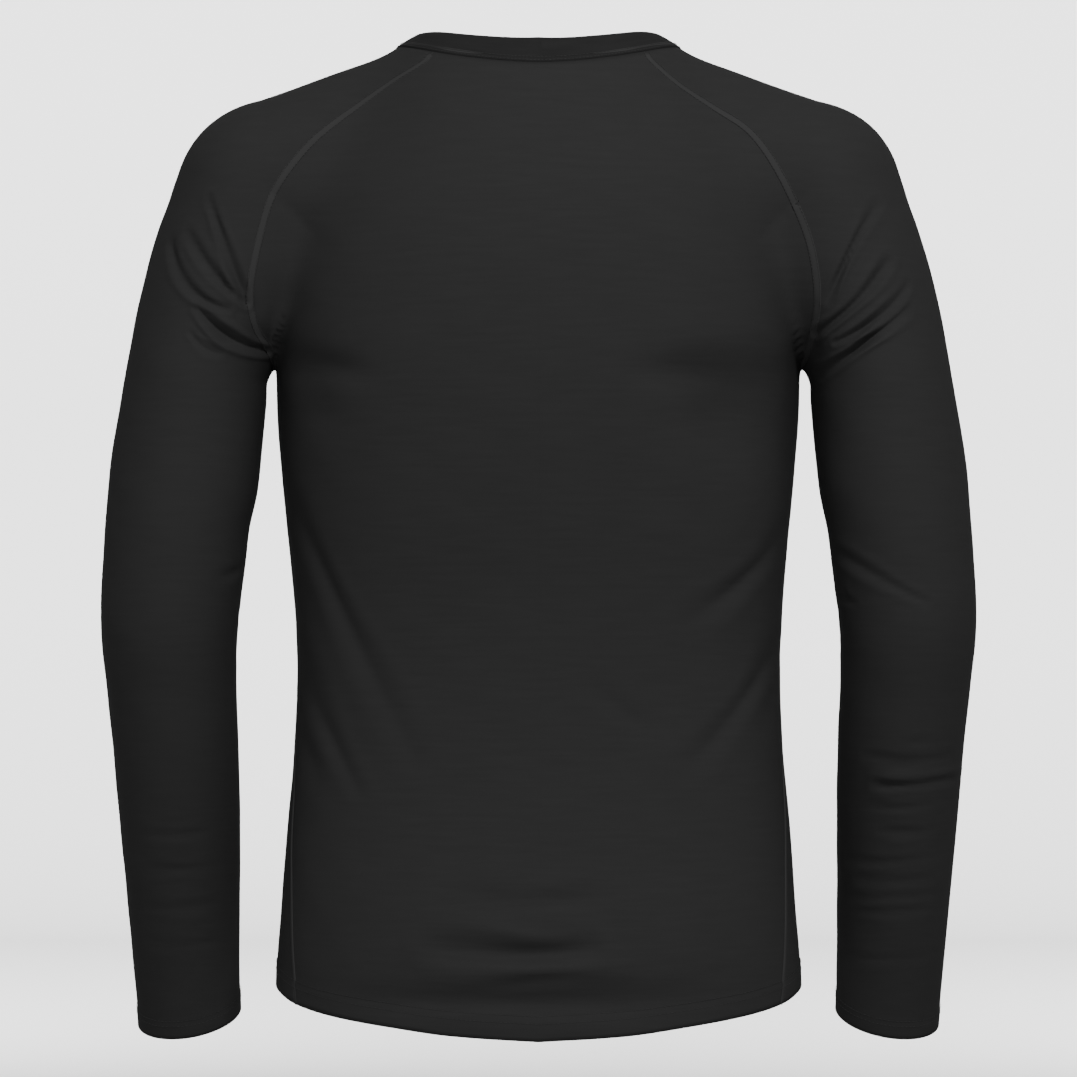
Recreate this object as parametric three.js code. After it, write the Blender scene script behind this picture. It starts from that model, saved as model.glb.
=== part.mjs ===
// A men's long-sleeved crew-neck base layer top of thin stretch jersey, filled out as when it is worn,
// with nobody in it.
// Cut as a front, a back, two raglan sleeves and a neckband, each a thin curved wall of its own.
// The cloth lies on a fit form: one smooth surface in which a general torso and two arms run together.
// Millimetres, +Z up, the wearer facing -Y. The origin is in the middle of the neck opening,
// level with the highest points of the neck seam, where the top hangs from the shoulders.
import * as THREE from 'three';

// Cloth
const WALL = 1.5;
const SEAM_GAP = 0.95;

// The torso's outline: height, half width at the side, and depth from the axis to the back and to the front
const TORSO = [
  { z: -720, side: 184, back: 105, front: 110 },
  { z: -690, side: 184, back: 108.5, front: 111.5 },
  { z: -645, side: 182.5, back: 112, front: 112 },
  { z: -600, side: 179.5, back: 109, front: 110 },
  { z: -554, side: 176.5, back: 101, front: 108 },
  { z: -498, side: 171, back: 94, front: 107 },
  { z: -442, side: 168.5, back: 92, front: 108 },
  { z: -386, side: 170, back: 96, front: 111 },
  { z: -330, side: 175.5, back: 105, front: 117 },
  { z: -274, side: 181, back: 113, front: 123 },
  { z: -232, side: 182.5, back: 118, front: 125 },
  { z: -195, side: 182, back: 120, front: 122 },
  { z: -150, side: 178, back: 119, front: 114 },
  { z: -110, side: 166, back: 114, front: 101 },
  { z: -75, side: 148, back: 105, front: 84 },
  { z: -50, side: 132, back: 96, front: 69 },
  { z: -30, side: 117, back: 87, front: 56 },
  { z: -10, side: 101, back: 74, front: 44 },
  { z: 15, side: 84, back: 60, front: 32 },
];
const TORSO_SQUARENESS = 2.3;

// The left arm's centreline from inside the neck to below the cuff, with the sleeve's half sizes
// across the arm and from front to back
const ARM = [
  { x: 40, y: 8, z: -50, across: 58, deep: 46 },
  { x: 84, y: 8, z: -63, across: 59, deep: 50 },
  { x: 112, y: 8, z: -73, across: 60, deep: 53 },
  { x: 143, y: 8, z: -83, across: 59, deep: 56 },
  { x: 175, y: 8, z: -93, across: 58, deep: 59 },
  { x: 191, y: 8, z: -99.5, across: 59, deep: 60 },
  { x: 197, y: 8, z: -112, across: 58.5, deep: 61 },
  { x: 203, y: 8.5, z: -129, across: 58, deep: 61 },
  { x: 209.5, y: 9, z: -147, across: 58, deep: 61 },
  { x: 220, y: 10, z: -174, across: 55.5, deep: 60 },
  { x: 231.5, y: 10, z: -204, across: 51, deep: 58.5 },
  { x: 237.3, y: 11, z: -225, across: 48.7, deep: 57.5 },
  { x: 239.8, y: 11, z: -245, across: 49.7, deep: 56.5 },
  { x: 246.5, y: 11, z: -300, across: 51.5, deep: 54 },
  { x: 251, y: 11, z: -330, across: 49.7, deep: 52.5 },
  { x: 253.7, y: 10, z: -355, across: 49.2, deep: 51 },
  { x: 257.5, y: 6, z: -400, across: 47.5, deep: 49 },
  { x: 257, y: -4, z: -440, across: 45.3, deep: 47 },
  { x: 255.3, y: -15, z: -480, across: 44, deep: 46 },
  { x: 254, y: -31, z: -532, across: 42.5, deep: 44 },
  { x: 252.3, y: -51, z: -600, across: 39.5, deep: 40 },
  { x: 251.3, y: -69, z: -658, across: 37.2, deep: 36 },
  { x: 250.5, y: -82, z: -700, across: 36.3, deep: 34 },
  { x: 250, y: -97, z: -750, across: 36, deep: 33 },
];
const ARM_STEPS = 150;
const SPINE_SPAN = 80;
const SPINE_SAMPLES = 7;

// How far the cloth bridges the hollow between arm and torso, by height
const BRIDGE = [
  { z: -260, reach: 4 },
  { z: -232, reach: 8 },
  { z: -205, reach: 14 },
  { z: -160, reach: 40 },
  { z: -110, reach: 54 },
  { z: -60, reach: 36 },
  { z: 20, reach: 20 },
];

// The neck seam: half width, depths and how far its middle lies below its sides
const NECK = { side: 101, back: 78, front: 84, backDrop: 20, frontDrop: 85 };

// The neckband, by its angle from the middle of the back: how far it leans inward and how far it rises
const BAND = [
  { turn: 0, inward: 14, rise: 18 },
  { turn: 45, inward: 11.5, rise: 13.5 },
  { turn: 90, inward: 12, rise: 6.5 },
  { turn: 135, inward: 13, rise: 14 },
  { turn: 180, inward: 9, rise: 18 },
];
const BAND_FLAT = 9;

// The raglan seams on the left half, seen from behind and from the front, neck end first
const RAGLAN_BACK = [
  { x: 72.6, z: -14 },
  { x: 81.4, z: -21.5 },
  { x: 96, z: -31.9 },
  { x: 109.2, z: -41.2 },
  { x: 122.4, z: -49.3 },
  { x: 140.6, z: -61.4 },
  { x: 154.3, z: -74.4 },
  { x: 170.1, z: -94.8 },
  { x: 180.5, z: -114 },
  { x: 188, z: -136.4 },
  { x: 193.1, z: -156.8 },
  { x: 194.8, z: -181 },
  { x: 191.7, z: -197.6 },
  { x: 186, z: -210.4 },
  { x: 184.9, z: -216 },
];
const RAGLAN_FRONT = [
  { x: 72, z: -42 },
  { x: 88, z: -60 },
  { x: 108, z: -80 },
  { x: 130, z: -102 },
  { x: 149, z: -127 },
  { x: 163, z: -151 },
  { x: 174, z: -173 },
  { x: 181, z: -192 },
  { x: 184.4, z: -206 },
  { x: 184.7, z: -216 },
];
// The underarm point, and how far below it the rest of the sleeve's first whole ring lies
const UNDERARM = { x: 184.8, y: 3, ringDrop: 9 };

// The side seam, by height: how far behind the torso's axis it runs
const SIDE_SEAM = [
  { z: -660, y: 55 },
  { z: -638, y: 51 },
  { z: -582, y: 39 },
  { z: -526, y: 25 },
  { z: -470, y: 14 },
  { z: -414, y: 6 },
  { z: -330, y: 3 },
  { z: -229, y: 3 },
];

// The hem's height by its angle from the middle of the back, and the angle at which the side seams reach it
const HEM = [
  { turn: 0, z: -683 },
  { turn: 30, z: -679.5 },
  { turn: 45, z: -675 },
  { turn: 60, z: -669.5 },
  { turn: 72, z: -663.5 },
  { turn: 80, z: -658 },
  { turn: 90, z: -654 },
  { turn: 110, z: -655 },
  { turn: 140, z: -661 },
  { turn: 180, z: -665 },
];
const HEM_SIDE_TURN = 72;
const HEM_FADE = 6;
// The cuff's distance from the arm line's end, and how much further it reaches at the back of the hand and on
// the outside
const CUFF = { fromEnd: 67, backReach: 2.5, outerReach: 4.5 };

// The largest folds, seen from behind (face 1) or from the front (face -1): three points that each curve runs
// through, its half width, and how far it stands out, or sinks in where that is negative
const FOLDS = [
  // Under the left arm
  { face: 1, x1: 236, z1: -100, x2: 220, z2: -140, x3: 203, z3: -182, width: 9, out: -4 },
  { face: 1, x1: 258, z1: -130, x2: 232, z2: -168, x3: 211, z3: -194, width: 8, out: -3.5 },
  { face: -1, x1: 230, z1: -92, x2: 210, z2: -132, x3: 194, z3: -172, width: 10, out: -4.5 },
  { face: -1, x1: 254, z1: -134, x2: 230, z2: -166, x3: 208, z3: -190, width: 8, out: -3.5 },
  // Under the right arm
  { face: 1, x1: -238, z1: -104, x2: -222, z2: -142, x3: -204, z3: -182, width: 9, out: -4 },
  { face: 1, x1: -260, z1: -164, x2: -235, z2: -191, x3: -206, z3: -208, width: 8, out: -4 },
  { face: -1, x1: -232, z1: -98, x2: -212, z2: -138, x3: -196, z3: -176, width: 10, out: -4.5 },
  { face: -1, x1: -258, z1: -148, x2: -234, z2: -177, x3: -208, z3: -196, width: 8, out: -3.5 },
  // Hollows under the shoulder blades, and on the chest beside the arms
  { face: 1, x1: -75, z1: -232, x2: -120, z2: -250, x3: -170, z3: -282, width: 22, out: -6 },
  { face: 1, x1: 168, z1: -204, x2: 146, z2: -222, x3: 120, z3: -234, width: 18, out: -3 },
  { face: -1, x1: 172, z1: -210, x2: 136, z2: -226, x3: 92, z3: -234, width: 20, out: -3.5 },
  { face: -1, x1: -172, z1: -216, x2: -132, z2: -236, x3: -84, z3: -246, width: 20, out: -4 },
  // Slanting folds at the waist
  { face: 1, x1: 168, z1: -317, x2: 133, z2: -394, x3: 84, z3: -492, width: 9, out: -3.5 },
  { face: 1, x1: 165, z1: -422, x2: 151, z2: -457, x3: 122, z3: -515, width: 9, out: -3 },
  { face: 1, x1: -168, z1: -336, x2: -139, z2: -372, x3: -103, z3: -398, width: 9, out: -3.5 },
  { face: 1, x1: -162, z1: -417, x2: -136, z2: -458, x3: -105, z3: -495, width: 9, out: -3.5 },
  { face: -1, x1: 168, z1: -330, x2: 137, z2: -390, x3: 90, z3: -458, width: 10, out: -3 },
  { face: -1, x1: -170, z1: -345, x2: -135, z2: -402, x3: -86, z3: -455, width: 10, out: -3 },
  { face: -1, x1: -164, z1: -450, x2: -135, z2: -489, x3: -98, z3: -526, width: 9, out: -2.5 },
  // Where the cloth rests on the seat, and over the belly
  { face: 1, x1: 72, z1: -622, x2: 16, z2: -631, x3: -42, z3: -630, width: 12, out: -4.5 },
  { face: -1, x1: 80, z1: -560, x2: 12, z2: -572, x3: -66, z3: -564, width: 15, out: -2.5 },
  // Elbows and forearms
  { face: 1, x1: -204, z1: -349, x2: -238, z2: -368, x3: -276, z3: -391, width: 9, out: -3.5 },
  { face: 1, x1: 208, z1: -362, x2: 234, z2: -378, x3: 262, z3: -384, width: 10, out: -2.5 },
  { face: -1, x1: -212, z1: -398, x2: -250, z2: -412, x3: -292, z3: -404, width: 9, out: -4 },
  { face: -1, x1: 214, z1: -402, x2: 250, z2: -416, x3: 290, z3: -408, width: 9, out: -4 },
  { face: 1, x1: -230, z1: -512, x2: -264, z2: -516, x3: -300, z3: -511, width: 9, out: -3 },
  { face: 1, x1: -226, z1: -571, x2: -256, z2: -568, x3: -290, z3: -574, width: 9, out: -2.5 },
  { face: 1, x1: 224, z1: -560, x2: 252, z2: -564, x3: 284, z3: -558, width: 10, out: -2 },
];
const FOLD_PIECES = 8;

// Grid sizes
const BODY_HALF_COLUMNS = 10;
const SIDE_ROWS = 21;
const SIDE_CROWDING = 1.6;
const SEAM_GUIDES = 60;
const RAGLAN_ROWS = 12;
const RAGLAN_CROWDING = 1.4;
const SLEEVE_COLUMNS = 20;
const SLEEVE_ROWS = 27;
const SLEEVE_CROWDING = 1.4;
const BAND_ROWS = 3;

const CLOTH_COLOUR = 0x262626;
const BAND_COLOUR = 0x222222;

const JERSEY = new THREE.MeshStandardMaterial({ color: CLOTH_COLOUR, roughness: 0.92, metalness: 0 });
const RIB = new THREE.MeshStandardMaterial({ color: BAND_COLOUR, roughness: 0.95, metalness: 0 });

// A smooth curve through a table's rows: call it with a place and a column's name
function smoothTable(rows, place) {
  const slope = (i, column) => {
    const before = rows[Math.max(i - 1, 0)];
    const after = rows[Math.min(i + 1, rows.length - 1)];
    return (after[column] - before[column]) / (after[place] - before[place]);
  };
  return (at, column) => {
    let i = 0;
    while (i < rows.length - 2 && at > rows[i + 1][place]) i += 1;
    const low = rows[i];
    const high = rows[i + 1];
    const span = high[place] - low[place];
    const t = (at - low[place]) / span;
    if (t < 0) return low[column] + slope(i, column) * t * span;
    if (t > 1) return high[column] + slope(i + 1, column) * (t - 1) * span;
    const start = slope(i, column) * span;
    const end = slope(i + 1, column) * span;
    const rise = high[column] - low[column];
    return low[column] + t * (start + t * (3 * rise - 2 * start - end + t * (start + end - 2 * rise)));
  };
}

// A table of points with the distance along them added as a column
function withDistance(points) {
  let along = 0;
  return points.map((row, i) => {
    if (i > 0) {
      const last = points[i - 1];
      along += Math.hypot(row.x - last.x, (row.y ?? 0) - (last.y ?? 0), row.z - last.z);
    }
    return { ...row, along };
  });
}

const torsoAt = smoothTable(TORSO, 'z');
const bridgeAt = smoothTable(BRIDGE, 'z');
const seamDepthAt = smoothTable(SIDE_SEAM, 'z');
const hemAt = smoothTable(HEM, 'turn');
const bandAt = smoothTable(BAND, 'turn');
const armRows = withDistance(ARM);
const armLength = armRows[armRows.length - 1].along;
const armAt = smoothTable(armRows, 'along');

// A line down the arm: its section at a distance along it, and its section nearest to a point. A section
// has its centre, its half sizes, the way along the arm, the way out from the body and the way to the back.
function sleeveLine(at) {
  const centreAt = (along) => new THREE.Vector3(at(along, 'x'), at(along, 'y'), at(along, 'z'));
  const section = (along) => {
    const centre = centreAt(along);
    const down = centreAt(along + 1).sub(centreAt(along - 1)).normalize();
    const back = new THREE.Vector3(0, 1, 0).addScaledVector(down, -down.y).normalize();
    const out = new THREE.Vector3().crossVectors(down, back);
    return { along, centre, down, back, out, across: at(along, 'across'), deep: at(along, 'deep') };
  };
  const sections = Array.from({ length: ARM_STEPS + 1 }, (_, i) => section((armLength * i) / ARM_STEPS));
  const nearest = (point) => {
    const apart = sections.map(({ centre }) => centre.distanceToSquared(point));
    let best = 1;
    for (let i = 2; i < ARM_STEPS; i += 1) {
      if (apart[i] < apart[best]) best = i;
    }
    const bend = Math.max(apart[best - 1] - 2 * apart[best] + apart[best + 1], 1e-6);
    const shift = THREE.MathUtils.clamp((apart[best - 1] - apart[best + 1]) / (2 * bend), -1, 1);
    return section(((best + shift) * armLength) / ARM_STEPS);
  };
  return { section, nearest };
}

// The arm's own line, and a gentler one that the sleeve's points are spread along
const arm = sleeveLine(armAt);
const spine = sleeveLine((along, column) => {
  const span = Math.min(SPINE_SPAN, along, Math.max(armLength - along, 0));
  let sum = 0;
  for (let i = 0; i < SPINE_SAMPLES; i += 1) {
    sum += armAt(along + span * ((2 * i) / (SPINE_SAMPLES - 1) - 1), column);
  }
  return sum / SPINE_SAMPLES;
});

// Where a point lies in a section: out and back of its centre, and beyond it along the arm
function placeInSection(point, section) {
  const offset = new THREE.Vector3().subVectors(point, section.centre);
  return { out: offset.dot(section.out), back: offset.dot(section.back), past: offset.dot(section.down) };
}

// Signed distance to the arm, negative inside. Its inner end is rounded.
function armDistance(point) {
  const section = arm.nearest(point);
  const { out, back, past } = placeInSection(point, section);
  const share = Math.max(Math.hypot(out / section.across, back / section.deep, past / section.across), 1e-6);
  return Math.hypot(out, back, past) * (1 - 1 / share);
}

// The torso's radius at a height, towards the side by sine and towards the back by cosine
function torsoRadius(z, sine, cosine) {
  const depth = torsoAt(z, cosine > 0 ? 'back' : 'front');
  const sideways = Math.pow(Math.abs(sine) / torsoAt(z, 'side'), TORSO_SQUARENESS);
  const endways = Math.pow(Math.abs(cosine) / depth, TORSO_SQUARENESS);
  return Math.pow(sideways + endways, -1 / TORSO_SQUARENESS);
}

// Signed distance to the torso, measured level
function torsoDistance(point) {
  const radius = Math.max(Math.hypot(point.x, point.y), 1e-6);
  return radius - torsoRadius(point.z, point.x / radius, point.y / radius);
}

// Signed distance to the whole fit form, with the hollow under the arm bridged
function formDistance(point) {
  const mirrored = new THREE.Vector3(Math.abs(point.x), point.y, point.z);
  const toTorso = torsoDistance(mirrored);
  const toArm = armDistance(mirrored);
  const reach = bridgeAt(THREE.MathUtils.clamp(point.z, BRIDGE[0].z, BRIDGE[BRIDGE.length - 1].z), 'reach');
  const near = Math.max(reach - Math.abs(toTorso - toArm), 0) / reach;
  return Math.min(toTorso, toArm) - (near * near * near * reach) / 6;
}

// The way straight out of the form at a point
function formSlope(point) {
  const step = 0.5;
  const difference = (axis) => {
    const ahead = point.clone().addScaledVector(axis, step);
    const behind = point.clone().addScaledVector(axis, -step);
    return (formDistance(ahead) - formDistance(behind)) / (2 * step);
  };
  return new THREE.Vector3(
    difference(new THREE.Vector3(1, 0, 0)),
    difference(new THREE.Vector3(0, 1, 0)),
    difference(new THREE.Vector3(0, 0, 1)),
  );
}

// The point of the form straight in or out from a guess
function ontoForm(guess) {
  const point = guess.clone();
  for (let round = 0; round < 7; round += 1) {
    const slope = formSlope(point);
    point.addScaledVector(slope, -formDistance(point) / Math.max(slope.lengthSq(), 0.05));
  }
  return point;
}

// The first point of the form met from a start outside it, going one way
function metFrom(start, way) {
  const step = 3;
  let outside = start.clone();
  while (formDistance(outside.clone().addScaledVector(way, step)) > 0) outside.addScaledVector(way, step);
  let inside = outside.clone().addScaledVector(way, step);
  for (let round = 0; round < 24; round += 1) {
    const middle = outside.clone().add(inside).multiplyScalar(0.5);
    if (formDistance(middle) > 0) outside = middle;
    else inside = middle;
  }
  return outside;
}

// A point of the form as seen from behind (face 1) or from the front (face -1)
function seenAt(x, z, face) {
  return metFrom(new THREE.Vector3(x, face * 220, z), new THREE.Vector3(0, -face, 0));
}

// Points on the form, closer together towards the underarm, along a seam seen from one face
function seamOnForm(table, face, last, rows) {
  const spaced = withDistance(table);
  const at = smoothTable(spaced, 'along');
  const guides = [];
  for (let i = 0; i <= SEAM_GUIDES; i += 1) {
    const along = (spaced[spaced.length - 1].along * i) / SEAM_GUIDES;
    guides.push(seenAt(at(along, 'x'), at(along, 'z'), face));
  }
  guides.push(last);
  const path = withDistance(guides.map(({ x, y, z }) => ({ x, y, z })));
  const pathAt = smoothTable(path, 'along');
  const points = [];
  for (let i = 0; i <= rows; i += 1) {
    const along = path[path.length - 1].along * (1 - Math.pow(1 - i / rows, RAGLAN_CROWDING));
    const guess = new THREE.Vector3(pathAt(along, 'x'), pathAt(along, 'y'), pathAt(along, 'z'));
    points.push(i === rows ? last.clone() : ontoForm(guess));
  }
  return points;
}

// Each fold as short straight pieces that fade towards its ends
const foldLines = FOLDS.map((fold) => {
  const { x1, z1, x2, z2, x3, z3 } = fold;
  const line = [];
  for (let i = 0; i <= FOLD_PIECES; i += 1) {
    const t = i / FOLD_PIECES;
    const first = 2 * (t - 0.5) * (t - 1);
    const second = 4 * t * (1 - t);
    const third = 2 * t * (t - 0.5);
    line.push({ x: first * x1 + second * x2 + third * x3, z: first * z1 + second * z2 + third * z3 });
  }
  return { ...fold, line };
});

// How far the folds move the cloth outward at a point with this outward way
function foldHeight(point, normal) {
  let height = 0;
  for (const { face, width, out, line } of foldLines) {
    const facing = THREE.MathUtils.smoothstep(normal.y * face, -0.15, 0.35);
    if (facing === 0) continue;
    let nearest = Infinity;
    let place = 0;
    for (let i = 0; i < FOLD_PIECES; i += 1) {
      const from = line[i];
      const dx = line[i + 1].x - from.x;
      const dz = line[i + 1].z - from.z;
      const share = ((point.x - from.x) * dx + (point.z - from.z) * dz) / (dx * dx + dz * dz);
      const t = THREE.MathUtils.clamp(share, 0, 1);
      const distance = Math.hypot(point.x - from.x - t * dx, point.z - from.z - t * dz);
      if (distance < nearest) {
        nearest = distance;
        place = (i + t) / FOLD_PIECES;
      }
    }
    const fade = Math.sqrt(Math.sin(Math.PI * THREE.MathUtils.lerp(0.08, 0.92, place)));
    height += out * facing * fade * Math.exp(-Math.pow(nearest / width, 2));
  }
  return height;
}

const mirror = (point) => new THREE.Vector3(-point.x, point.y, point.z);

// The underarm point, where front, back and sleeve meet
const underarm = metFrom(new THREE.Vector3(UNDERARM.x, UNDERARM.y, -300), new THREE.Vector3(0, 0, 1));

// The neck seam's point at an angle from the middle of the back, positive to the wearer's left
function neckPoint(turn) {
  const sine = Math.sin(turn);
  const cosine = Math.cos(turn);
  const depth = cosine > 0 ? NECK.back : NECK.front;
  const drop = cosine > 0 ? NECK.backDrop : NECK.frontDrop;
  return ontoForm(new THREE.Vector3(NECK.side * sine, depth * cosine, -drop * cosine * cosine));
}

// The neck angle at which the neck seam reaches a distance from the middle
const neckTurn = (x, face) => (face > 0 ? Math.asin(x / NECK.side) : Math.PI - Math.asin(x / NECK.side));

const backTurn = neckTurn(RAGLAN_BACK[0].x, 1);
const frontTurn = neckTurn(RAGLAN_FRONT[0].x, -1);

// A seam that starts exactly on the neck seam
function raglanSeam(table, face, turn) {
  const points = seamOnForm(table, face, underarm, RAGLAN_ROWS);
  points[0] = neckPoint(turn);
  return points;
}

const raglanBack = raglanSeam(RAGLAN_BACK, 1, backTurn);
const raglanFront = raglanSeam(RAGLAN_FRONT, -1, frontTurn);

// The side seam from the hem up to the underarm
function sideSeam() {
  const points = [];
  for (let i = 0; i < SIDE_ROWS; i += 1) {
    const share = Math.pow(1 - i / SIDE_ROWS, SIDE_CROWDING);
    const z = THREE.MathUtils.lerp(underarm.z, hemAt(HEM_SIDE_TURN, 'z'), share);
    const y = seamDepthAt(z, 'y');
    const depth = torsoAt(z, 'back');
    const width = Math.pow(1 - Math.pow(y / depth, TORSO_SQUARENESS), 1 / TORSO_SQUARENESS);
    points.push(ontoForm(new THREE.Vector3(torsoAt(z, 'side') * width, y, z)));
  }
  points.push(underarm.clone());
  return points;
}

// A sheet of cloth as points on the form, with the faces between them
class Cloth {
  constructor() {
    this.points = [];
    this.normals = [];
    this.faces = [];
  }

  addPlain(point, normal) {
    this.points.push(point);
    this.normals.push(normal);
    return this.points.length - 1;
  }

  // Adds a point of the form, moved by the folds
  add(point) {
    const normal = formSlope(point).normalize();
    return this.addPlain(point.addScaledVector(normal, foldHeight(point, normal)), normal);
  }

  // Faces between two rows of points, turned so that they face outward
  join(lower, upper) {
    for (let i = 0; i + 1 < lower.length; i += 1) {
      this.faces.push([lower[i], lower[i + 1], upper[i + 1], upper[i]]);
    }
  }

  // Turns every face round if the first one faces inward
  faceOutward() {
    const [a, b, c] = this.faces[0].map((i) => this.points[i]);
    const side = b.clone().sub(a).cross(c.clone().sub(a));
    if (side.dot(this.normals[this.faces[0][0]]) < 0) this.faces.forEach((face) => face.reverse());
  }

  // The edges that only one face has
  openEdges() {
    const edges = new Map();
    for (const face of this.faces) {
      face.forEach((from, i) => {
        const to = face[(i + 1) % face.length];
        if (!edges.delete(`${to}_${from}`)) edges.set(`${from}_${to}`, [from, to]);
      });
    }
    return [...edges.values()];
  }

  // Draws the open edges back by half the seam gap
  trimEdges() {
    const inward = new Map();
    for (const [from, to] of this.openEdges()) {
      const way = this.points[to].clone().sub(this.points[from]);
      const side = this.normals[from].clone().add(this.normals[to]).cross(way).normalize();
      for (const end of [from, to]) {
        inward.set(end, (inward.get(end) ?? new THREE.Vector3()).add(side));
      }
    }
    for (const [i, way] of inward) {
      const shortening = way.length() / 2;
      this.points[i].addScaledVector(way.normalize(), SEAM_GAP / 2 / Math.max(shortening, 0.5));
    }
  }

  // The closed wall of cloth round these points
  wall(name, material) {
    this.faceOutward();
    this.trimEdges();
    const count = this.points.length;
    const moved = (side) => (point, i) => point.clone().addScaledVector(this.normals[i], side * WALL);
    const positions = [...this.points.map(moved(0.5)), ...this.points.map(moved(-0.5))];
    const triangles = [];
    const fill = (a, b, c, d) => {
      const shortest = positions[a].distanceTo(positions[c]) < positions[b].distanceTo(positions[d]);
      triangles.push(...(shortest ? [a, b, c, a, c, d] : [a, b, d, b, c, d]));
    };
    for (const [a, b, c, d] of this.faces) {
      fill(a, b, c, d);
      fill(count + d, count + c, count + b, count + a);
    }
    for (const [from, to] of this.openEdges()) fill(to, from, count + from, count + to);
    const geometry = new THREE.BufferGeometry().setFromPoints(positions);
    geometry.setIndex(triangles);
    const mesh = new THREE.Mesh(geometry, material);
    mesh.name = name;
    return mesh;
  }
}

// The front (face -1) or back (face 1), from hem to neck seam
function bodyPanel(name, face) {
  const raglan = face > 0 ? raglanBack : raglanFront;
  const turn = face > 0 ? backTurn : frontTurn;
  const edge = [...sideSeam(), ...[...raglan].reverse().slice(1)];
  const distances = withDistance(edge.map(({ x, y, z }) => ({ x, y, z })));
  const lastRow = edge.length - 1;
  const middleLow = hemAt(face > 0 ? 0 : 180, 'z');
  const middleHigh = neckPoint(face > 0 ? 0 : Math.PI).z;
  const columns = Array.from({ length: 2 * BODY_HALF_COLUMNS + 1 }, (_, i) => i / BODY_HALF_COLUMNS - 1);
  const hemAngle = THREE.MathUtils.radToDeg(Math.atan2(edge[0].x, edge[0].y * face));
  // How far the hem lies above or below a plain arc from its middle to its sides
  const hemShift = (u) => {
    const turn = hemAngle * Math.abs(u);
    return hemAt(face > 0 ? turn : 180 - turn, 'z') - THREE.MathUtils.lerp(middleLow, edge[0].z, u * u);
  };
  const cloth = new Cloth();
  let below = null;
  edge.forEach((end, row) => {
    const share = distances[row].along / distances[lastRow].along;
    const middle = THREE.MathUtils.lerp(middleLow, middleHigh, share);
    const angle = Math.atan2(end.x, end.y * face);
    const onTorso = (u) => {
      const z = THREE.MathUtils.lerp(middle, end.z, u * u) + hemShift(u) * Math.pow(1 - share, HEM_FADE);
      const sine = Math.sin(angle * u);
      const cosine = Math.cos(angle * u) * face;
      const radius = torsoRadius(z, sine, cosine);
      return new THREE.Vector3(radius * sine, radius * cosine, z);
    };
    const miss = end.clone().sub(onTorso(1));
    const indices = columns.map((u) => {
      if (u === 1) return cloth.add(end.clone());
      if (u === -1) return cloth.add(mirror(end));
      if (row === lastRow) return cloth.add(neckPoint(face > 0 ? turn * u : Math.PI - (Math.PI - turn) * u));
      const guess = onTorso(u);
      const pull = Math.pow(Math.abs(u), 3);
      guess.add(new THREE.Vector3(miss.x * Math.sign(u), miss.y, miss.z).multiplyScalar(pull));
      return cloth.add(ontoForm(guess));
    });
    if (below) cloth.join(below, indices);
    below = indices;
  });
  return cloth.wall(name, JERSEY);
}

// Where a point lies round a section: 0 on the outside of the arm, positive towards the back
function angleOf(point, section) {
  const { out, back } = placeInSection(point, section);
  return Math.atan2(back / section.deep, out / section.across);
}

// A section's point at an angle
function onSection({ centre, out, back, across, deep }, angle) {
  return centre
    .clone()
    .addScaledVector(out, across * Math.cos(angle))
    .addScaledVector(back, deep * Math.sin(angle));
}

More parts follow.
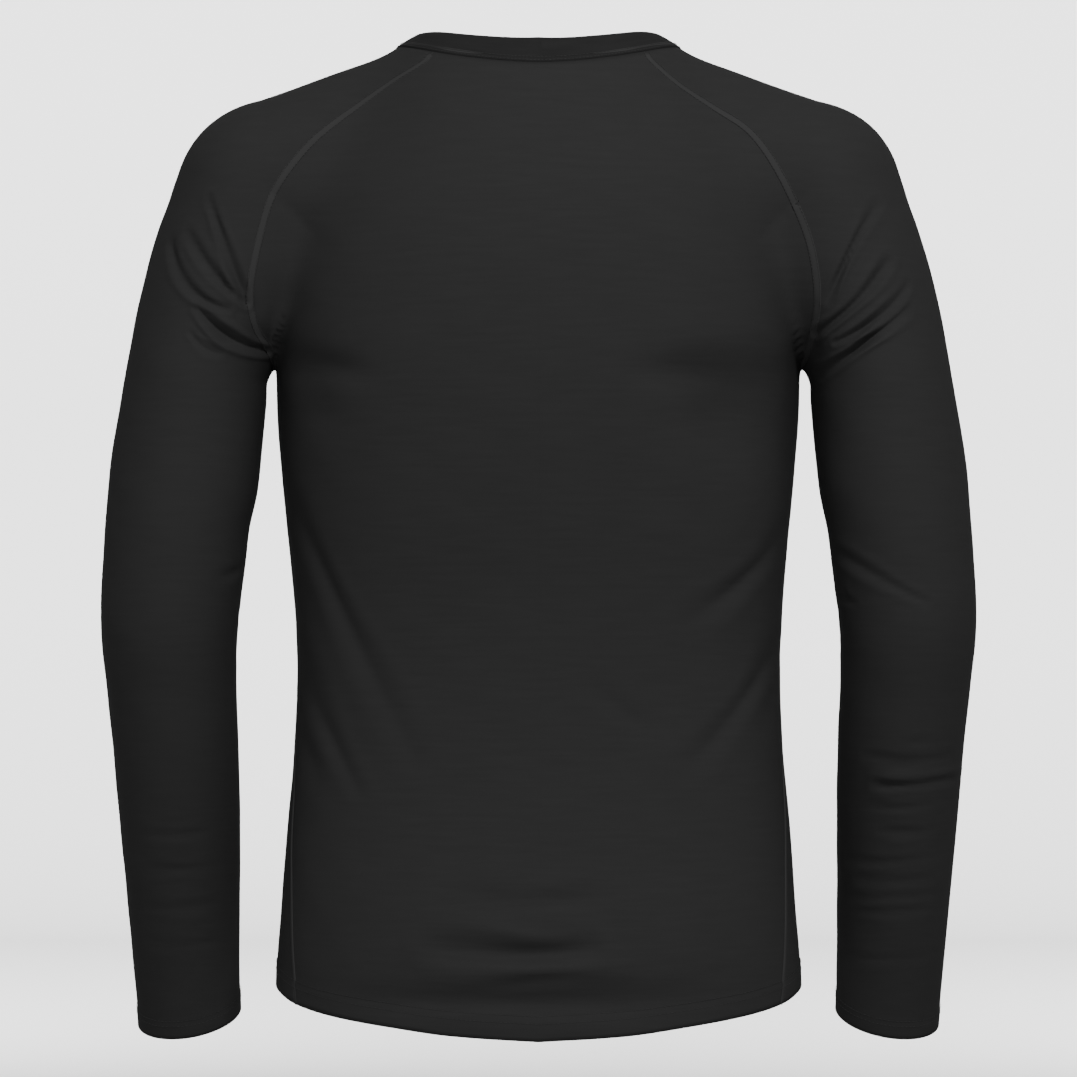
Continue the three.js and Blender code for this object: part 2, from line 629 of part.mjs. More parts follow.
// The sleeve on the wearer's left (side 1) or right (side -1): a cap between the raglan seams,
// then a tube to the cuff
function sleeve(name, side) {
  const cloth = new Cloth();
  const lay = (point) => cloth.add(side < 0 ? mirror(point) : point.clone());
  const columns = Array.from({ length: SLEEVE_COLUMNS + 1 }, (_, i) => i / SLEEVE_COLUMNS);
  const fullTurn = 2 * Math.PI;
  const places = [raglanBack, raglanFront].map((seam, turns) =>
    seam.map((point) => {
      const section = spine.nearest(point);
      const angle = (angleOf(point, section) + fullTurn) % fullTurn;
      return { along: section.along, angle: angle - turns * fullTurn };
    }),
  );
  const onCap = (row, u) => {
    const [start, end] = places.map((seam) => seam[row]);
    const section = spine.section(THREE.MathUtils.lerp(start.along, end.along, u));
    return onSection(section, THREE.MathUtils.lerp(start.angle, end.angle, u));
  };
  const neckEdge = columns.map((u) => neckPoint(THREE.MathUtils.lerp(backTurn, frontTurn, u)));
  const neckMiss = columns.map((u, i) => neckEdge[i].clone().sub(onCap(0, u)));
  let above = null;
  for (let row = 0; row < RAGLAN_ROWS; row += 1) {
    const fade = Math.pow(1 - row / RAGLAN_ROWS, 2);
    const startMiss = raglanBack[row].clone().sub(onCap(row, 0));
    startMiss.addScaledVector(neckMiss[0], -fade);
    const endMiss = raglanFront[row].clone().sub(onCap(row, 1));
    endMiss.addScaledVector(neckMiss[SLEEVE_COLUMNS], -fade);
    const indices = columns.map((u, i) => {
      if (row === 0) return lay(neckEdge[i]);
      if (i === 0) return lay(raglanBack[row]);
      if (i === SLEEVE_COLUMNS) return lay(raglanFront[row]);
      const guess = onCap(row, u).addScaledVector(neckMiss[i], fade);
      guess.addScaledVector(startMiss, Math.pow(1 - u, 3)).addScaledVector(endMiss, Math.pow(u, 3));
      return lay(ontoForm(guess));
    });
    if (above) cloth.join(above, indices);
    above = indices;
  }
  const first = arm.nearest(underarm);
  const turned = Math.PI - ((angleOf(underarm, first) + fullTurn) % fullTurn);
  for (let row = 0; row <= SLEEVE_ROWS; row += 1) {
    const share = Math.pow(row / SLEEVE_ROWS, SLEEVE_CROWDING);
    const indices = columns.slice(0, -1).map((u, i) => {
      if (row === 0 && i === 0) return lay(underarm);
      const angle = Math.PI - turned * Math.max(1 - 4 * share, 0) - u * fullTurn;
      const start = first.along + (i === 0 ? 0 : UNDERARM.ringDrop);
      const reach = CUFF.backReach * Math.sin(angle) + CUFF.outerReach * Math.cos(angle);
      const end = armLength - CUFF.fromEnd + reach;
      return lay(ontoForm(onSection(arm.section(THREE.MathUtils.lerp(start, end, share)), angle)));
    });
    indices.push(indices[0]);
    cloth.join(above, indices);
    above = indices;
  }
  return cloth.wall(name, JERSEY);
}

// The neckband: a strip that leaves the neck seam along the cloth and turns up round the neck
function neckband(name) {
  const turns = [];
  const spread = (from, to, count) => {
    for (let i = 0; i < count; i += 1) turns.push(THREE.MathUtils.lerp(from, to, i / count));
  };
  spread(-backTurn, backTurn, 2 * BODY_HALF_COLUMNS);
  spread(backTurn, frontTurn, SLEEVE_COLUMNS);
  spread(frontTurn, 2 * Math.PI - frontTurn, 2 * BODY_HALF_COLUMNS);
  spread(2 * Math.PI - frontTurn, 2 * Math.PI - backTurn, SLEEVE_COLUMNS);
  const cloth = new Cloth();
  const seam = turns.map(neckPoint);
  const rows = Array.from({ length: BAND_ROWS + 1 }, () => []);
  turns.forEach((turn, i) => {
    const point = seam[i];
    const ring = seam[(i + 1) % seam.length].clone().sub(seam.at(i - 1)).normalize();
    const outward = formSlope(point).normalize();
    const inSurface = ring.clone().cross(outward).normalize();
    const degrees = Math.abs(THREE.MathUtils.radToDeg(Math.atan2(Math.sin(turn), Math.cos(turn))));
    const toAxis = new THREE.Vector3(-point.x, -point.y, 0).normalize();
    const top = point.clone().addScaledVector(toAxis, bandAt(degrees, 'inward'));
    top.z += bandAt(degrees, 'rise');
    const flat = point.clone().addScaledVector(inSurface, BAND_FLAT);
    for (let row = 0; row <= BAND_ROWS; row += 1) {
      const t = row / BAND_ROWS;
      const place = point.clone().multiplyScalar((1 - t) * (1 - t));
      place.addScaledVector(flat, 2 * t * (1 - t)).addScaledVector(top, t * t);
      const along = flat.clone().sub(point).multiplyScalar(1 - t).addScaledVector(top.clone().sub(flat), t);
      rows[row].push(cloth.addPlain(place, along.cross(ring).normalize()));
    }
  });
  rows.forEach((row) => row.push(row[0]));
  for (let row = 0; row < BAND_ROWS; row += 1) cloth.join(rows[row], rows[row + 1]);
  return cloth.wall(name, RIB);
}

const top = new THREE.Group();
top.add(bodyPanel('back', 1));
top.add(bodyPanel('front', -1));
top.add(sleeve('sleeve_left', 1));
top.add(sleeve('sleeve_right', -1));
top.add(neckband('neckband'));

export default top;
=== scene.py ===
"""A long-sleeved crew-neck base layer top in thin black jersey, filled out as worn, seen from behind."""

import logging
import math
from dataclasses import dataclass, field
from enum import Enum
from typing import Callable

import bpy
import numpy as np
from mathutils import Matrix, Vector


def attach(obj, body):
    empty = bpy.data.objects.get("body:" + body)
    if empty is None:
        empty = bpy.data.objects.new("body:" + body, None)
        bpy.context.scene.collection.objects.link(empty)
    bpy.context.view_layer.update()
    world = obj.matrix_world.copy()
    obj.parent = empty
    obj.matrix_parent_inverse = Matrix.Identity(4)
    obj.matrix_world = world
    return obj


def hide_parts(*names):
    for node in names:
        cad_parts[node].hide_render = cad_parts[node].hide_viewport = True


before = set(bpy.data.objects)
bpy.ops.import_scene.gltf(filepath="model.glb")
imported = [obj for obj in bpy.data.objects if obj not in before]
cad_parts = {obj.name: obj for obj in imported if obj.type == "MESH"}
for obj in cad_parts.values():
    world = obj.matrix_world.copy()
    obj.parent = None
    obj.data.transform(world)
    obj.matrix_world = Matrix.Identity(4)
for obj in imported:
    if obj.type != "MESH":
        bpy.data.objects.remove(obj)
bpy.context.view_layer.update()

Array = np.ndarray
Rows = list[dict[str, float]]
Evaluate = Callable[[Array, str], Array]

MM = 0.001
VIEW_DISTANCE = 3000.0
VIEW_HEIGHT = -343.4
VIEW_WIDTH = 753.9


class Face(Enum):
    """Which side of the body something lies on."""

    BACK = 1
    FRONT = -1


def rows_of(columns: str, *rows: tuple[float, ...]) -> Rows:
    """Makes a table with named columns.

    Args:
        columns: The column names, parted by spaces.
        rows: The numbers of each row, in that order.

    Returns:
        One dictionary for each row.
    """
    return [dict(zip(columns.split(), row)) for row in rows]


# The fit form, in millimetres: the torso by height, the arm along its centreline, and how far the cloth
# bridges the hollow between them
TORSO = rows_of(
    "z side back front",
    (-720, 184, 105, 110),
    (-690, 184, 108.5, 111.5),
    (-645, 182.5, 112, 112),
    (-600, 179.5, 109, 110),
    (-554, 176.5, 101, 108),
    (-498, 171, 94, 107),
    (-442, 168.5, 92, 108),
    (-386, 170, 96, 111),
    (-330, 175.5, 105, 117),
    (-274, 181, 113, 123),
    (-232, 182.5, 118, 125),
    (-195, 182, 120, 122),
    (-150, 178, 119, 114),
    (-110, 166, 114, 101),
    (-75, 148, 105, 84),
    (-50, 132, 96, 69),
    (-30, 117, 87, 56),
    (-10, 101, 74, 44),
    (15, 84, 60, 32),
)
TORSO_SQUARENESS = 2.3
ARM = rows_of(
    "x y z across deep",
    (40, 8, -50, 58, 46),
    (84, 8, -63, 59, 50),
    (112, 8, -73, 60, 53),
    (143, 8, -83, 59, 56),
    (175, 8, -93, 58, 59),
    (191, 8, -99.5, 59, 60),
    (197, 8, -112, 58.5, 61),
    (203, 8.5, -129, 58, 61),
    (209.5, 9, -147, 58, 61),
    (220, 10, -174, 55.5, 60),
    (231.5, 10, -204, 51, 58.5),
    (237.3, 11, -225, 48.7, 57.5),
    (239.8, 11, -245, 49.7, 56.5),
    (246.5, 11, -300, 51.5, 54),
    (251, 11, -330, 49.7, 52.5),
    (253.7, 10, -355, 49.2, 51),
    (257.5, 6, -400, 47.5, 49),
    (257, -4, -440, 45.3, 47),
    (255.3, -15, -480, 44, 46),
    (254, -31, -532, 42.5, 44),
    (252.3, -51, -600, 39.5, 40),
    (251.3, -69, -658, 37.2, 36),
    (250.5, -82, -700, 36.3, 34),
    (250, -97, -750, 36, 33),
)
ARM_STEPS = 150
SPINE_SPAN = 80.0
SPINE_SAMPLES = 7
BRIDGE = rows_of(
    "z reach", (-260, 4), (-232, 8), (-205, 14), (-160, 40), (-110, 54), (-60, 36), (20, 20)
)

# The cut: the neck seam, the raglan seams from the neck to the underarm, the side seam, hem and cuff. Raglans
# are given where a viewer behind or in front sees them, on the wearer's left (side 1) and right (side -1).
NECK = {"side": 101.0, "back": 78.0, "front": 84.0, "back_drop": 20.0, "front_drop": 85.0}
RAGLAN_FRONT = rows_of(
    "x z",
    (73, -36),
    (90, -55),
    (110, -75),
    (131, -97),
    (150, -121),
    (164, -145),
    (175, -167),
    (182.5, -187),
    (185.5, -203),
    (185, -215),
)
RAGLANS = {
    (Face.BACK, 1): rows_of(
        "x z",
        (74.5, -5.5),
        (83, -12),
        (99.8, -22.4),
        (125, -39.9),
        (144, -53.5),
        (160.5, -67.5),
        (178.4, -89.3),
        (188, -107),
        (196.4, -137),
        (201, -160.7),
        (201.5, -179),
        (197, -196),
        (188.5, -210),
        (185.5, -217),
    ),
    (Face.BACK, -1): rows_of(
        "x z",
        (74.6, -5.5),
        (84.3, -14.7),
        (97, -25.2),
        (111.7, -35),
        (126, -44),
        (144, -55.5),
        (156, -68),
        (169, -88),
        (180.5, -111),
        (187.5, -128),
        (192, -144),
        (195, -163),
        (195.5, -178),
        (192.5, -196),
        (188, -209),
        (185.5, -217),
    ),
    (Face.FRONT, 1): RAGLAN_FRONT,
    (Face.FRONT, -1): RAGLAN_FRONT,
}
UNDERARM = {"x": 184.8, "y": 3.0, "ring_drop": 9.0}
SIDE_SEAM = rows_of(
    "z y", (-660, 55), (-638, 51), (-582, 39), (-526, 25), (-470, 14), (-414, 6), (-330, 3), (-229, 3)
)
HEM = rows_of(
    "turn z",
    (0, -683),
    (30, -679.5),
    (45, -675),
    (60, -669.5),
    (72, -663.5),
    (80, -658),
    (90, -654),
    (110, -655),
    (140, -661),
    (180, -665),
)
CUFF = {"from_end": 67.0, "back_reach": 2.5, "outer_reach": 4.5}
BAND = rows_of("turn inward rise", (0, 14, 18), (45, 11.5, 13.5), (90, 12, 6.5), (135, 13, 14), (180, 9, 18))
BAND_FLAT = 9.0
HEM_SIDE_TURN = 72.0
HEM_RAISED = 0.5
STITCH_LIFT = 0.5
HEM_EASE = 1.5
HEM_FADE = 6
RAGLAN_CROWDING = 1.3
SIDE_CROWDING = 1.15

# Folds as a viewer behind (face 1) or in front (face -1) sees them: three points that each one runs through,
# its half width, how far it stands out (or sinks in), how far its flanks go the other way, as a share, and
# its profile, from a pinched crease (1.2) to a soft swell (2)
FOLDS = rows_of(
    "face x1 z1 x2 z2 x3 z3 width out flank profile",
    # Under the left arm
    (1, 231, -105, 215, -150, 204, -178, 2.38, -3.33, 0.42, 1.2),
    (1, 245, -130, 227, -158, 205, -179, 2.53, -3.54, 0.42, 1.2),
    (1, 257, -136, 245, -167, 217, -183, 2.38, -3.12, 0.42, 1.2),
    (1, 238, -183, 216, -203, 189, -213, 2.81, -3.95, 0.42, 1.2),
    (1, 243, -200, 235, -209, 224, -214, 2.25, -1.25, 0.42, 1.2),
    (1, 203, -174, 199, -194, 187, -215, 8, -2.4, 0, 2),
    (-1, 229, -97, 210, -139, 194, -176, 3.59, -2.72, 0.32, 1.2),
    (-1, 251, -118, 229, -160, 199, -192, 3.43, -2.72, 0.32, 1.2),
    (-1, 257, -154, 233, -185, 196, -203, 3.12, -2.24, 0.32, 1.2),
    (-1, 245, -192, 222, -207, 194, -213, 2.81, -1.6, 0.32, 1.2),
    # Under the right arm
    (1, -237, -110, -219, -141, -203, -176, 2.38, -3.12, 0.42, 1.2),
    (1, -244, -150, -224, -176, -194, -200, 2.66, -3.74, 0.42, 1.2),
    (1, -258, -166, -239, -188, -208, -206, 2.38, -3.12, 0.42, 1.2),
    (1, -256, -184, -228, -207, -196, -228, 2.81, -3.74, 0.42, 1.2),
    (1, -192, -185, -191, -203, -187, -221, 8, -2.4, 0, 2),
    (-1, -231, -99, -212, -143, -193, -181, 3.59, -2.72, 0.32, 1.2),
    (-1, -254, -132, -229, -171, -198, -197, 3.43, -2.88, 0.32, 1.2),
    (-1, -261, -171, -236, -197, -201, -211, 3.12, -2.4, 0.32, 1.2),
    # Hollows below the shoulder blades and beside the chest
    (1, -52, -226, -128, -228, -204, -230, 15, -5, 0, 2),
    (1, -78, -240, -142, -262, -206, -300, 34, -9, 0, 2),
    (1, 196, -221, 150, -224, 104, -228, 14, -4, 0, 2),
    (1, 196, -240, 160, -250, 120, -262, 26, -3, 0, 2),
    (-1, 173, -210, 136, -226, 92, -234, 20, -3.5, 0, 2),
    (-1, -172, -216, -132, -236, -84, -246, 20, -4, 0, 2),
    # Slanting folds at the waist
    (1, 173, -316, 137, -396, 87, -497, 6.25, -1.98, 0.2, 1.8),
    (1, 170, -425, 156, -461, 126, -521, 6.25, -1.86, 0.2, 1.8),
    (1, 168, -456, 163, -486, 156, -512, 5, -1.12, 0.2, 1.8),
    (1, -173, -336, -143, -373, -106, -400, 6.25, -2.11, 0.2, 1.8),
    (1, -167, -420, -140, -462, -109, -500, 6.25, -2.11, 0.2, 1.8),
    (1, -166, -440, -162, -456, -159, -473, 4.5, -0.87, 0.2, 1.8),
    (1, -41, -449, -60, -465, -81, -482, 7.5, -0.87, 0.2, 1.8),
    (-1, 170, -330, 140, -392, 92, -462, 8.75, -1.98, 0.2, 1.8),
    (-1, 168, -436, 146, -474, 116, -512, 7.5, -1.61, 0.2, 1.8),
    (-1, -172, -345, -138, -404, -88, -458, 8.75, -2.11, 0.2, 1.8),
    (-1, -166, -452, -138, -492, -100, -530, 7.5, -1.74, 0.2, 1.8),
    # Where the cloth rests on the seat, and over the belly
    (1, 58, -595, 7, -598, -43, -595, 8, -1.6, 0.3, 2),
    (1, 70, -631, 16, -634, -37, -631, 7, -3.6, 0.4, 1.8),
    (1, 71, -643, 6, -645, -58, -643, 6, 2, 0.3, 2),
    (1, 160, -664, 6, -669, -140, -664, 12, -5.5, 0, 2),
    (-1, 84, -566, 10, -576, -70, -568, 12, -2.4, 0.4, 2),
    (-1, 96, -604, 6, -612, -88, -602, 10, -2, 0.3, 2),
    # Elbows
    (1, -207, -351, -242, -373, -273, -388, 2.85, -1.68, 0.4, 1.3),
    (1, -207, -378, -213, -384, -221, -389, 2.4, -1.08, 0.4, 1.3),
    (1, 204, -361, 212, -366, 223, -371, 3, -0.96, 0.4, 1.3),
    (-1, -211, -392, -250, -407, -292, -398, 4.5, -2.16, 0.4, 1.3),
    (-1, -215, -420, -250, -431, -287, -424, 3.75, -1.68, 0.4, 1.3),
    (-1, 213, -396, 250, -412, 290, -402, 4.5, -2.16, 0.4, 1.3),
    (-1, 216, -424, 250, -435, 285, -430, 3.75, -1.56, 0.4, 1.3),
    # Forearms
    (1, -254, -485, -264, -486, -274, -485, 2.25, -0.55, 0.4, 1.6),
    (1, -231, -496, -259, -498, -288, -496, 2.4, -0.99, 0.4, 1.5),
    (1, -246, -503, -257, -503, -271, -502, 2.1, -0.55, 0.4, 1.6),
    (1, -233, -509, -261, -510, -294, -505, 3.3, 1.21, 0.4, 1.8),
    (1, -237, -515, -257, -516, -288, -512, 2.4, -1.65, 0.4, 1.5),
    (1, -231, -530, -250, -532, -274, -530, 2.4, -0.77, 0.4, 1.6),
    (1, -239, -548, -257, -549, -278, -547, 2.4, -0.77, 0.4, 1.6),
    (1, -218, -568, -242, -570, -271, -567, 2.55, -0.83, 0.4, 1.6),
    (1, -225, -582, -246, -583, -274, -581, 2.4, -0.72, 0.4, 1.6),
    (1, -218, -594, -242, -595, -274, -593, 2.4, -0.66, 0.4, 1.6),
    (1, -222, -603, -243, -605, -271, -602, 2.55, -0.77, 0.4, 1.6),
    (1, -218, -636, -243, -638, -274, -636, 2.7, -0.55, 0.4, 1.8),
    (1, 279, -549, 254, -551, 226, -548, 3, -0.5, 0.4, 1.8),
    (1, 272, -574, 251, -575, 223, -573, 3, -0.55, 0.4, 1.8),
    (1, 275, -600, 251, -602, 223, -598, 3, -0.5, 0.4, 1.8),
    (1, 272, -626, 247, -628, 222, -624, 3, -0.44, 0.4, 1.8),
    (-1, -238, -480, -266, -486, -296, -478, 3.75, -1.1, 0.4, 1.7),
    (-1, -236, -520, -262, -524, -290, -518, 3.45, -0.99, 0.4, 1.7),
    (-1, -232, -566, -257, -570, -286, -564, 3.45, -0.99, 0.4, 1.7),
    (-1, -230, -610, -254, -614, -280, -608, 3.3, -0.72, 0.4, 1.7),
    (-1, 236, -500, 262, -506, 294, -500, 3.75, -0.99, 0.4, 1.7),
    (-1, 232, -556, 256, -560, 286, -554, 3.45, -0.88, 0.4, 1.7),
    (-1, 229, -606, 252, -610, 280, -604, 3.3, -0.72, 0.4, 1.7),
)
FOLD_PIECES = 12
FOLD_REACH = 4
FOLD_NARROW = 10
FOLD_WIDTH_VARIES = 0.25
FOLD_HEIGHT_VARIES = 0.2
FLANK_PLACE = 2.1
FLANK_SHARPNESS = 1.3


class SmoothTable:
    """A smooth curve through a table's rows, straight on past both ends."""

    def __init__(self, rows: Rows, place: str) -> None:
        """Takes the rows and the column that they are placed by."""
        self.place = np.array([row[place] for row in rows], float)
        self.values = {name: np.array([row[name] for row in rows], float) for name in rows[0]}
        ahead = np.minimum(np.arange(len(rows)) + 1, len(rows) - 1)
        behind = np.maximum(np.arange(len(rows)) - 1, 0)
        run = self.place[ahead] - self.place[behind]
        self.slopes = {name: (v[ahead] - v[behind]) / run for name, v in self.values.items()}

    def __call__(self, at: Array, column: str) -> Array:
        """Reads one column at some places.

        Args:
            at: The places.
            column: The column's name.

        Returns:
            The column's value at each place.
        """
        at = np.asarray(at, float)
        i = np.clip(np.searchsorted(self.place, at, side="right") - 1, 0, len(self.place) - 2)
        span = self.place[i + 1] - self.place[i]
        t = (at - self.place[i]) / span
        s = np.clip(t, 0, 1)
        low, high = self.values[column][i], self.values[column][i + 1]
        start, end = self.slopes[column][i] * span, self.slopes[column][i + 1] * span
        rise = high - low
        value = low + s * (start + s * (3 * rise - 2 * start - end + s * (start + end - 2 * rise)))
        return value + start * np.minimum(t, 0) + end * np.maximum(t - 1, 0)


def unit(vectors: Array) -> Array:
    """Scales each vector to length one."""
    return vectors / np.maximum(np.linalg.norm(vectors, axis=-1, keepdims=True), 1e-9)


def dot(a: Array, b: Array) -> Array:
    """The dot products of matching vectors."""
    return (a * b).sum(-1)


def distances(points: Array) -> Array:
    """How far along a line of points each one lies."""
    return np.concatenate([[0.0], np.cumsum(np.linalg.norm(np.diff(points, axis=0), axis=1))])


def mirrored(points: Array) -> Array:
    """The same points on the body's other side."""
    return points * np.array([-1.0, 1.0, 1.0])


def on_left(points: Array) -> Array:
    """The points, with those of the right side mirrored to the left."""
    return points * np.where(points[:, :1] < 0, [-1.0, 1.0, 1.0], 1.0)


def ringed(grid: Array) -> Array:
    """A grid with its first column again at the end, which closes its rows to rings."""
    return np.hstack([grid, grid[:, :1]])


def grid_faces(numbers: Array) -> Array:
    """The four-cornered faces between the numbers of a grid."""
    corners = (numbers[:-1, :-1], numbers[:-1, 1:], numbers[1:, 1:], numbers[1:, :-1])
    return np.stack([corner.ravel() for corner in corners], 1)


def hem_step(rise: Array, deep: float) -> Array:
    """How far a turned-up hem of a depth stands out, at distances from the edge."""
    return HEM_RAISED * np.clip((deep + 1 - rise) / HEM_EASE, 0, 1)


@dataclass
class Section:
    """Cross-sections of an arm: centres, directions along, backwards and outwards, and half sizes."""

    along: Array
    centre: Array
    down: Array
    back: Array
    out: Array
    across: Array
    deep: Array

    def locate(self, points: Array) -> tuple[Array, Array, Array]:
        """Where matching points lie: outwards, backwards and beyond along the arm."""
        offset = points - self.centre
        return dot(offset, self.out), dot(offset, self.back), dot(offset, self.down)

    def angle_of(self, points: Array) -> Array:
        """The angle of matching points round the sections, 0 outside and positive behind."""
        out, back, _ = self.locate(points)
        return np.arctan2(back / self.deep, out / self.across)

    def at_angle(self, angle: Array) -> Array:
        """The points of the sections at matching angles."""
        sideways = self.out * (self.across * np.cos(angle))[..., None]
        return self.centre + sideways + self.back * (self.deep * np.sin(angle))[..., None]


class SleeveLine:
    """A line down the left arm, with the arm's section anywhere on it."""

    def __init__(self, at: Evaluate, length: float) -> None:
        """Takes what reads the arm's columns at a distance along it, and the arm's length."""
        self.at = at
        self.length = length
        self.marks = np.linspace(0, length, ARM_STEPS + 1)
        self.centres = self._centre(self.marks)

    def _centre(self, along: Array) -> Array:
        """The centre at each distance."""
        return np.stack([self.at(along, axis) for axis in "xyz"], -1)

    def section(self, along: Array) -> Section:
        """The sections at some distances along the line."""
        centre = self._centre(along)
        down = unit(self._centre(along + 1) - self._centre(along - 1))
        back = unit(np.array([0.0, 1.0, 0.0]) - down * down[..., 1:2])
        return Section(
            along, centre, down, back, np.cross(down, back), self.at(along, "across"), self.at(along, "deep")
        )

    def mark_by(self, points: Array) -> Array:
        """The number of the mark nearest to each point, the two ends left out."""
        apart = (self.centres**2).sum(1) - 2 * points @ self.centres.T
        return np.clip(apart.argmin(1), 1, ARM_STEPS - 1)

    def nearest(self, points: Array, marks: Array | None = None) -> Section:
        """The section nearest to each point.

        Args:
            points: Points near the left arm.
            marks: The mark that each is nearest to, if it is known.

        Returns:
            One section for each point.
        """
        i = self.mark_by(points) if marks is None else marks
        before, here, after = (((points - self.centres[i + step]) ** 2).sum(1) for step in (-1, 0, 1))
        shift = (before - after) / (2 * np.maximum(before - 2 * here + after, 1e-6))
        return self.section(self.marks[i] + np.clip(shift, -1, 1) * self.marks[1])


class FitForm:
    """The smooth surface that the cloth lies on: a general torso and two arms run together."""

    def __init__(self) -> None:
        """Builds the tables and the lines down the arm."""
        self.torso = SmoothTable(TORSO, "z")
        self.bridge = SmoothTable(BRIDGE, "z")
        centres = np.array([[row[axis] for axis in "xyz"] for row in ARM])
        rows = [{**row, "along": along} for row, along in zip(ARM, distances(centres))]
        self.arm_length = rows[-1]["along"]
        self.arm_at = SmoothTable(rows, "along")
        self.arm = SleeveLine(self.arm_at, self.arm_length)
        self.spine = SleeveLine(self._gentler, self.arm_length)

    def _gentler(self, along: Array, column: str) -> Array:
        """The arm's column averaged over a stretch round each distance."""
        along = np.asarray(along, float)
        span = np.minimum(np.minimum(SPINE_SPAN, along), np.maximum(self.arm_length - along, 0))
        steps = np.linspace(-1, 1, SPINE_SAMPLES)
        return sum(self.arm_at(along + span * step, column) for step in steps) / SPINE_SAMPLES

    def torso_radius(self, z: Array, sine: Array, cosine: Array) -> Array:
        """The torso's level radius at a height, towards the side by sine and the back by cosine."""
        depth = np.where(cosine > 0, self.torso(z, "back"), self.torso(z, "front"))
        sideways = (np.abs(sine) / self.torso(z, "side")) ** TORSO_SQUARENESS
        endways = (np.abs(cosine) / depth) ** TORSO_SQUARENESS
        return (sideways + endways) ** (-1 / TORSO_SQUARENESS)

    def marks(self, points: Array) -> Array:
        """The number of the arm's mark nearest to each point, on either side."""
        return self.arm.mark_by(on_left(points))

    def distance(self, points: Array, marks: Array | None = None) -> Array:
        """The signed distance of each point from the surface, negative inside.

        Args:
            points: Any points.
            marks: The arm's mark that each is nearest to, if it is known.

        Returns:
            Their distances.
        """
        near = on_left(points)
        radius = np.maximum(np.hypot(near[:, 0], near[:, 1]), 1e-6)
        to_torso = radius - self.torso_radius(near[:, 2], near[:, 0] / radius, near[:, 1] / radius)
        section = self.arm.nearest(near, marks)
        out, back, past = section.locate(near)
        share = np.sqrt(
            (out / section.across) ** 2 + (back / section.deep) ** 2 + (past / section.across) ** 2
        )
        to_arm = np.sqrt(out**2 + back**2 + past**2) * (1 - 1 / np.maximum(share, 1e-6))
        height = np.clip(near[:, 2], BRIDGE[0]["z"], BRIDGE[-1]["z"])
        reach = self.bridge(height, "reach")
        close = np.maximum(reach - np.abs(to_torso - to_arm), 0) / reach
        return np.minimum(to_torso, to_arm) - close**3 * reach / 6

    def slope(self, points: Array, marks: Array | None = None) -> Array:
        """How fast the distance grows along each axis at each point."""
        marks = self.marks(points) if marks is None else marks
        steps = np.eye(3) * 0.5
        ahead_and_behind = [(points + step, points - step) for step in steps]
        return np.stack([self.distance(a, marks) - self.distance(b, marks) for a, b in ahead_and_behind], -1)

    def onto(self, guesses: Array, rounds: int = 5) -> Array:
        """Moves points straight onto the surface.

        Args:
            guesses: Points near the surface, in any grid shape.
            rounds: How often to correct them.

        Returns:
            The points on the surface, in the same shape.
        """
        points = guesses.reshape(-1, 3).copy()
        for _ in range(rounds):
            marks = self.marks(points)
            slope = self.slope(points, marks)
            points -= slope * (self.distance(points, marks) / np.maximum(dot(slope, slope), 0.05))[:, None]
        return points.reshape(guesses.shape)

    def met_from(self, starts: Array, way: Array) -> Array:
        """The first points of the surface met from outside it.

        Args:
            starts: Points outside the surface.
            way: The direction that each goes in, or one for all.

        Returns:
            Where each one meets the surface.
        """
        way = np.broadcast_to(way, starts.shape) * 3.0
        outside = starts.copy()
        for _ in range(150):
            clear = self.distance(outside + way) > 0
            if not clear.any():
                break
            outside[clear] += way[clear]
        inside = outside + way
        for _ in range(22):
            middle = (outside + inside) / 2
            clear = self.distance(middle) > 0
            outside[clear] = middle[clear]
            inside[~clear] = middle[~clear]
        return outside


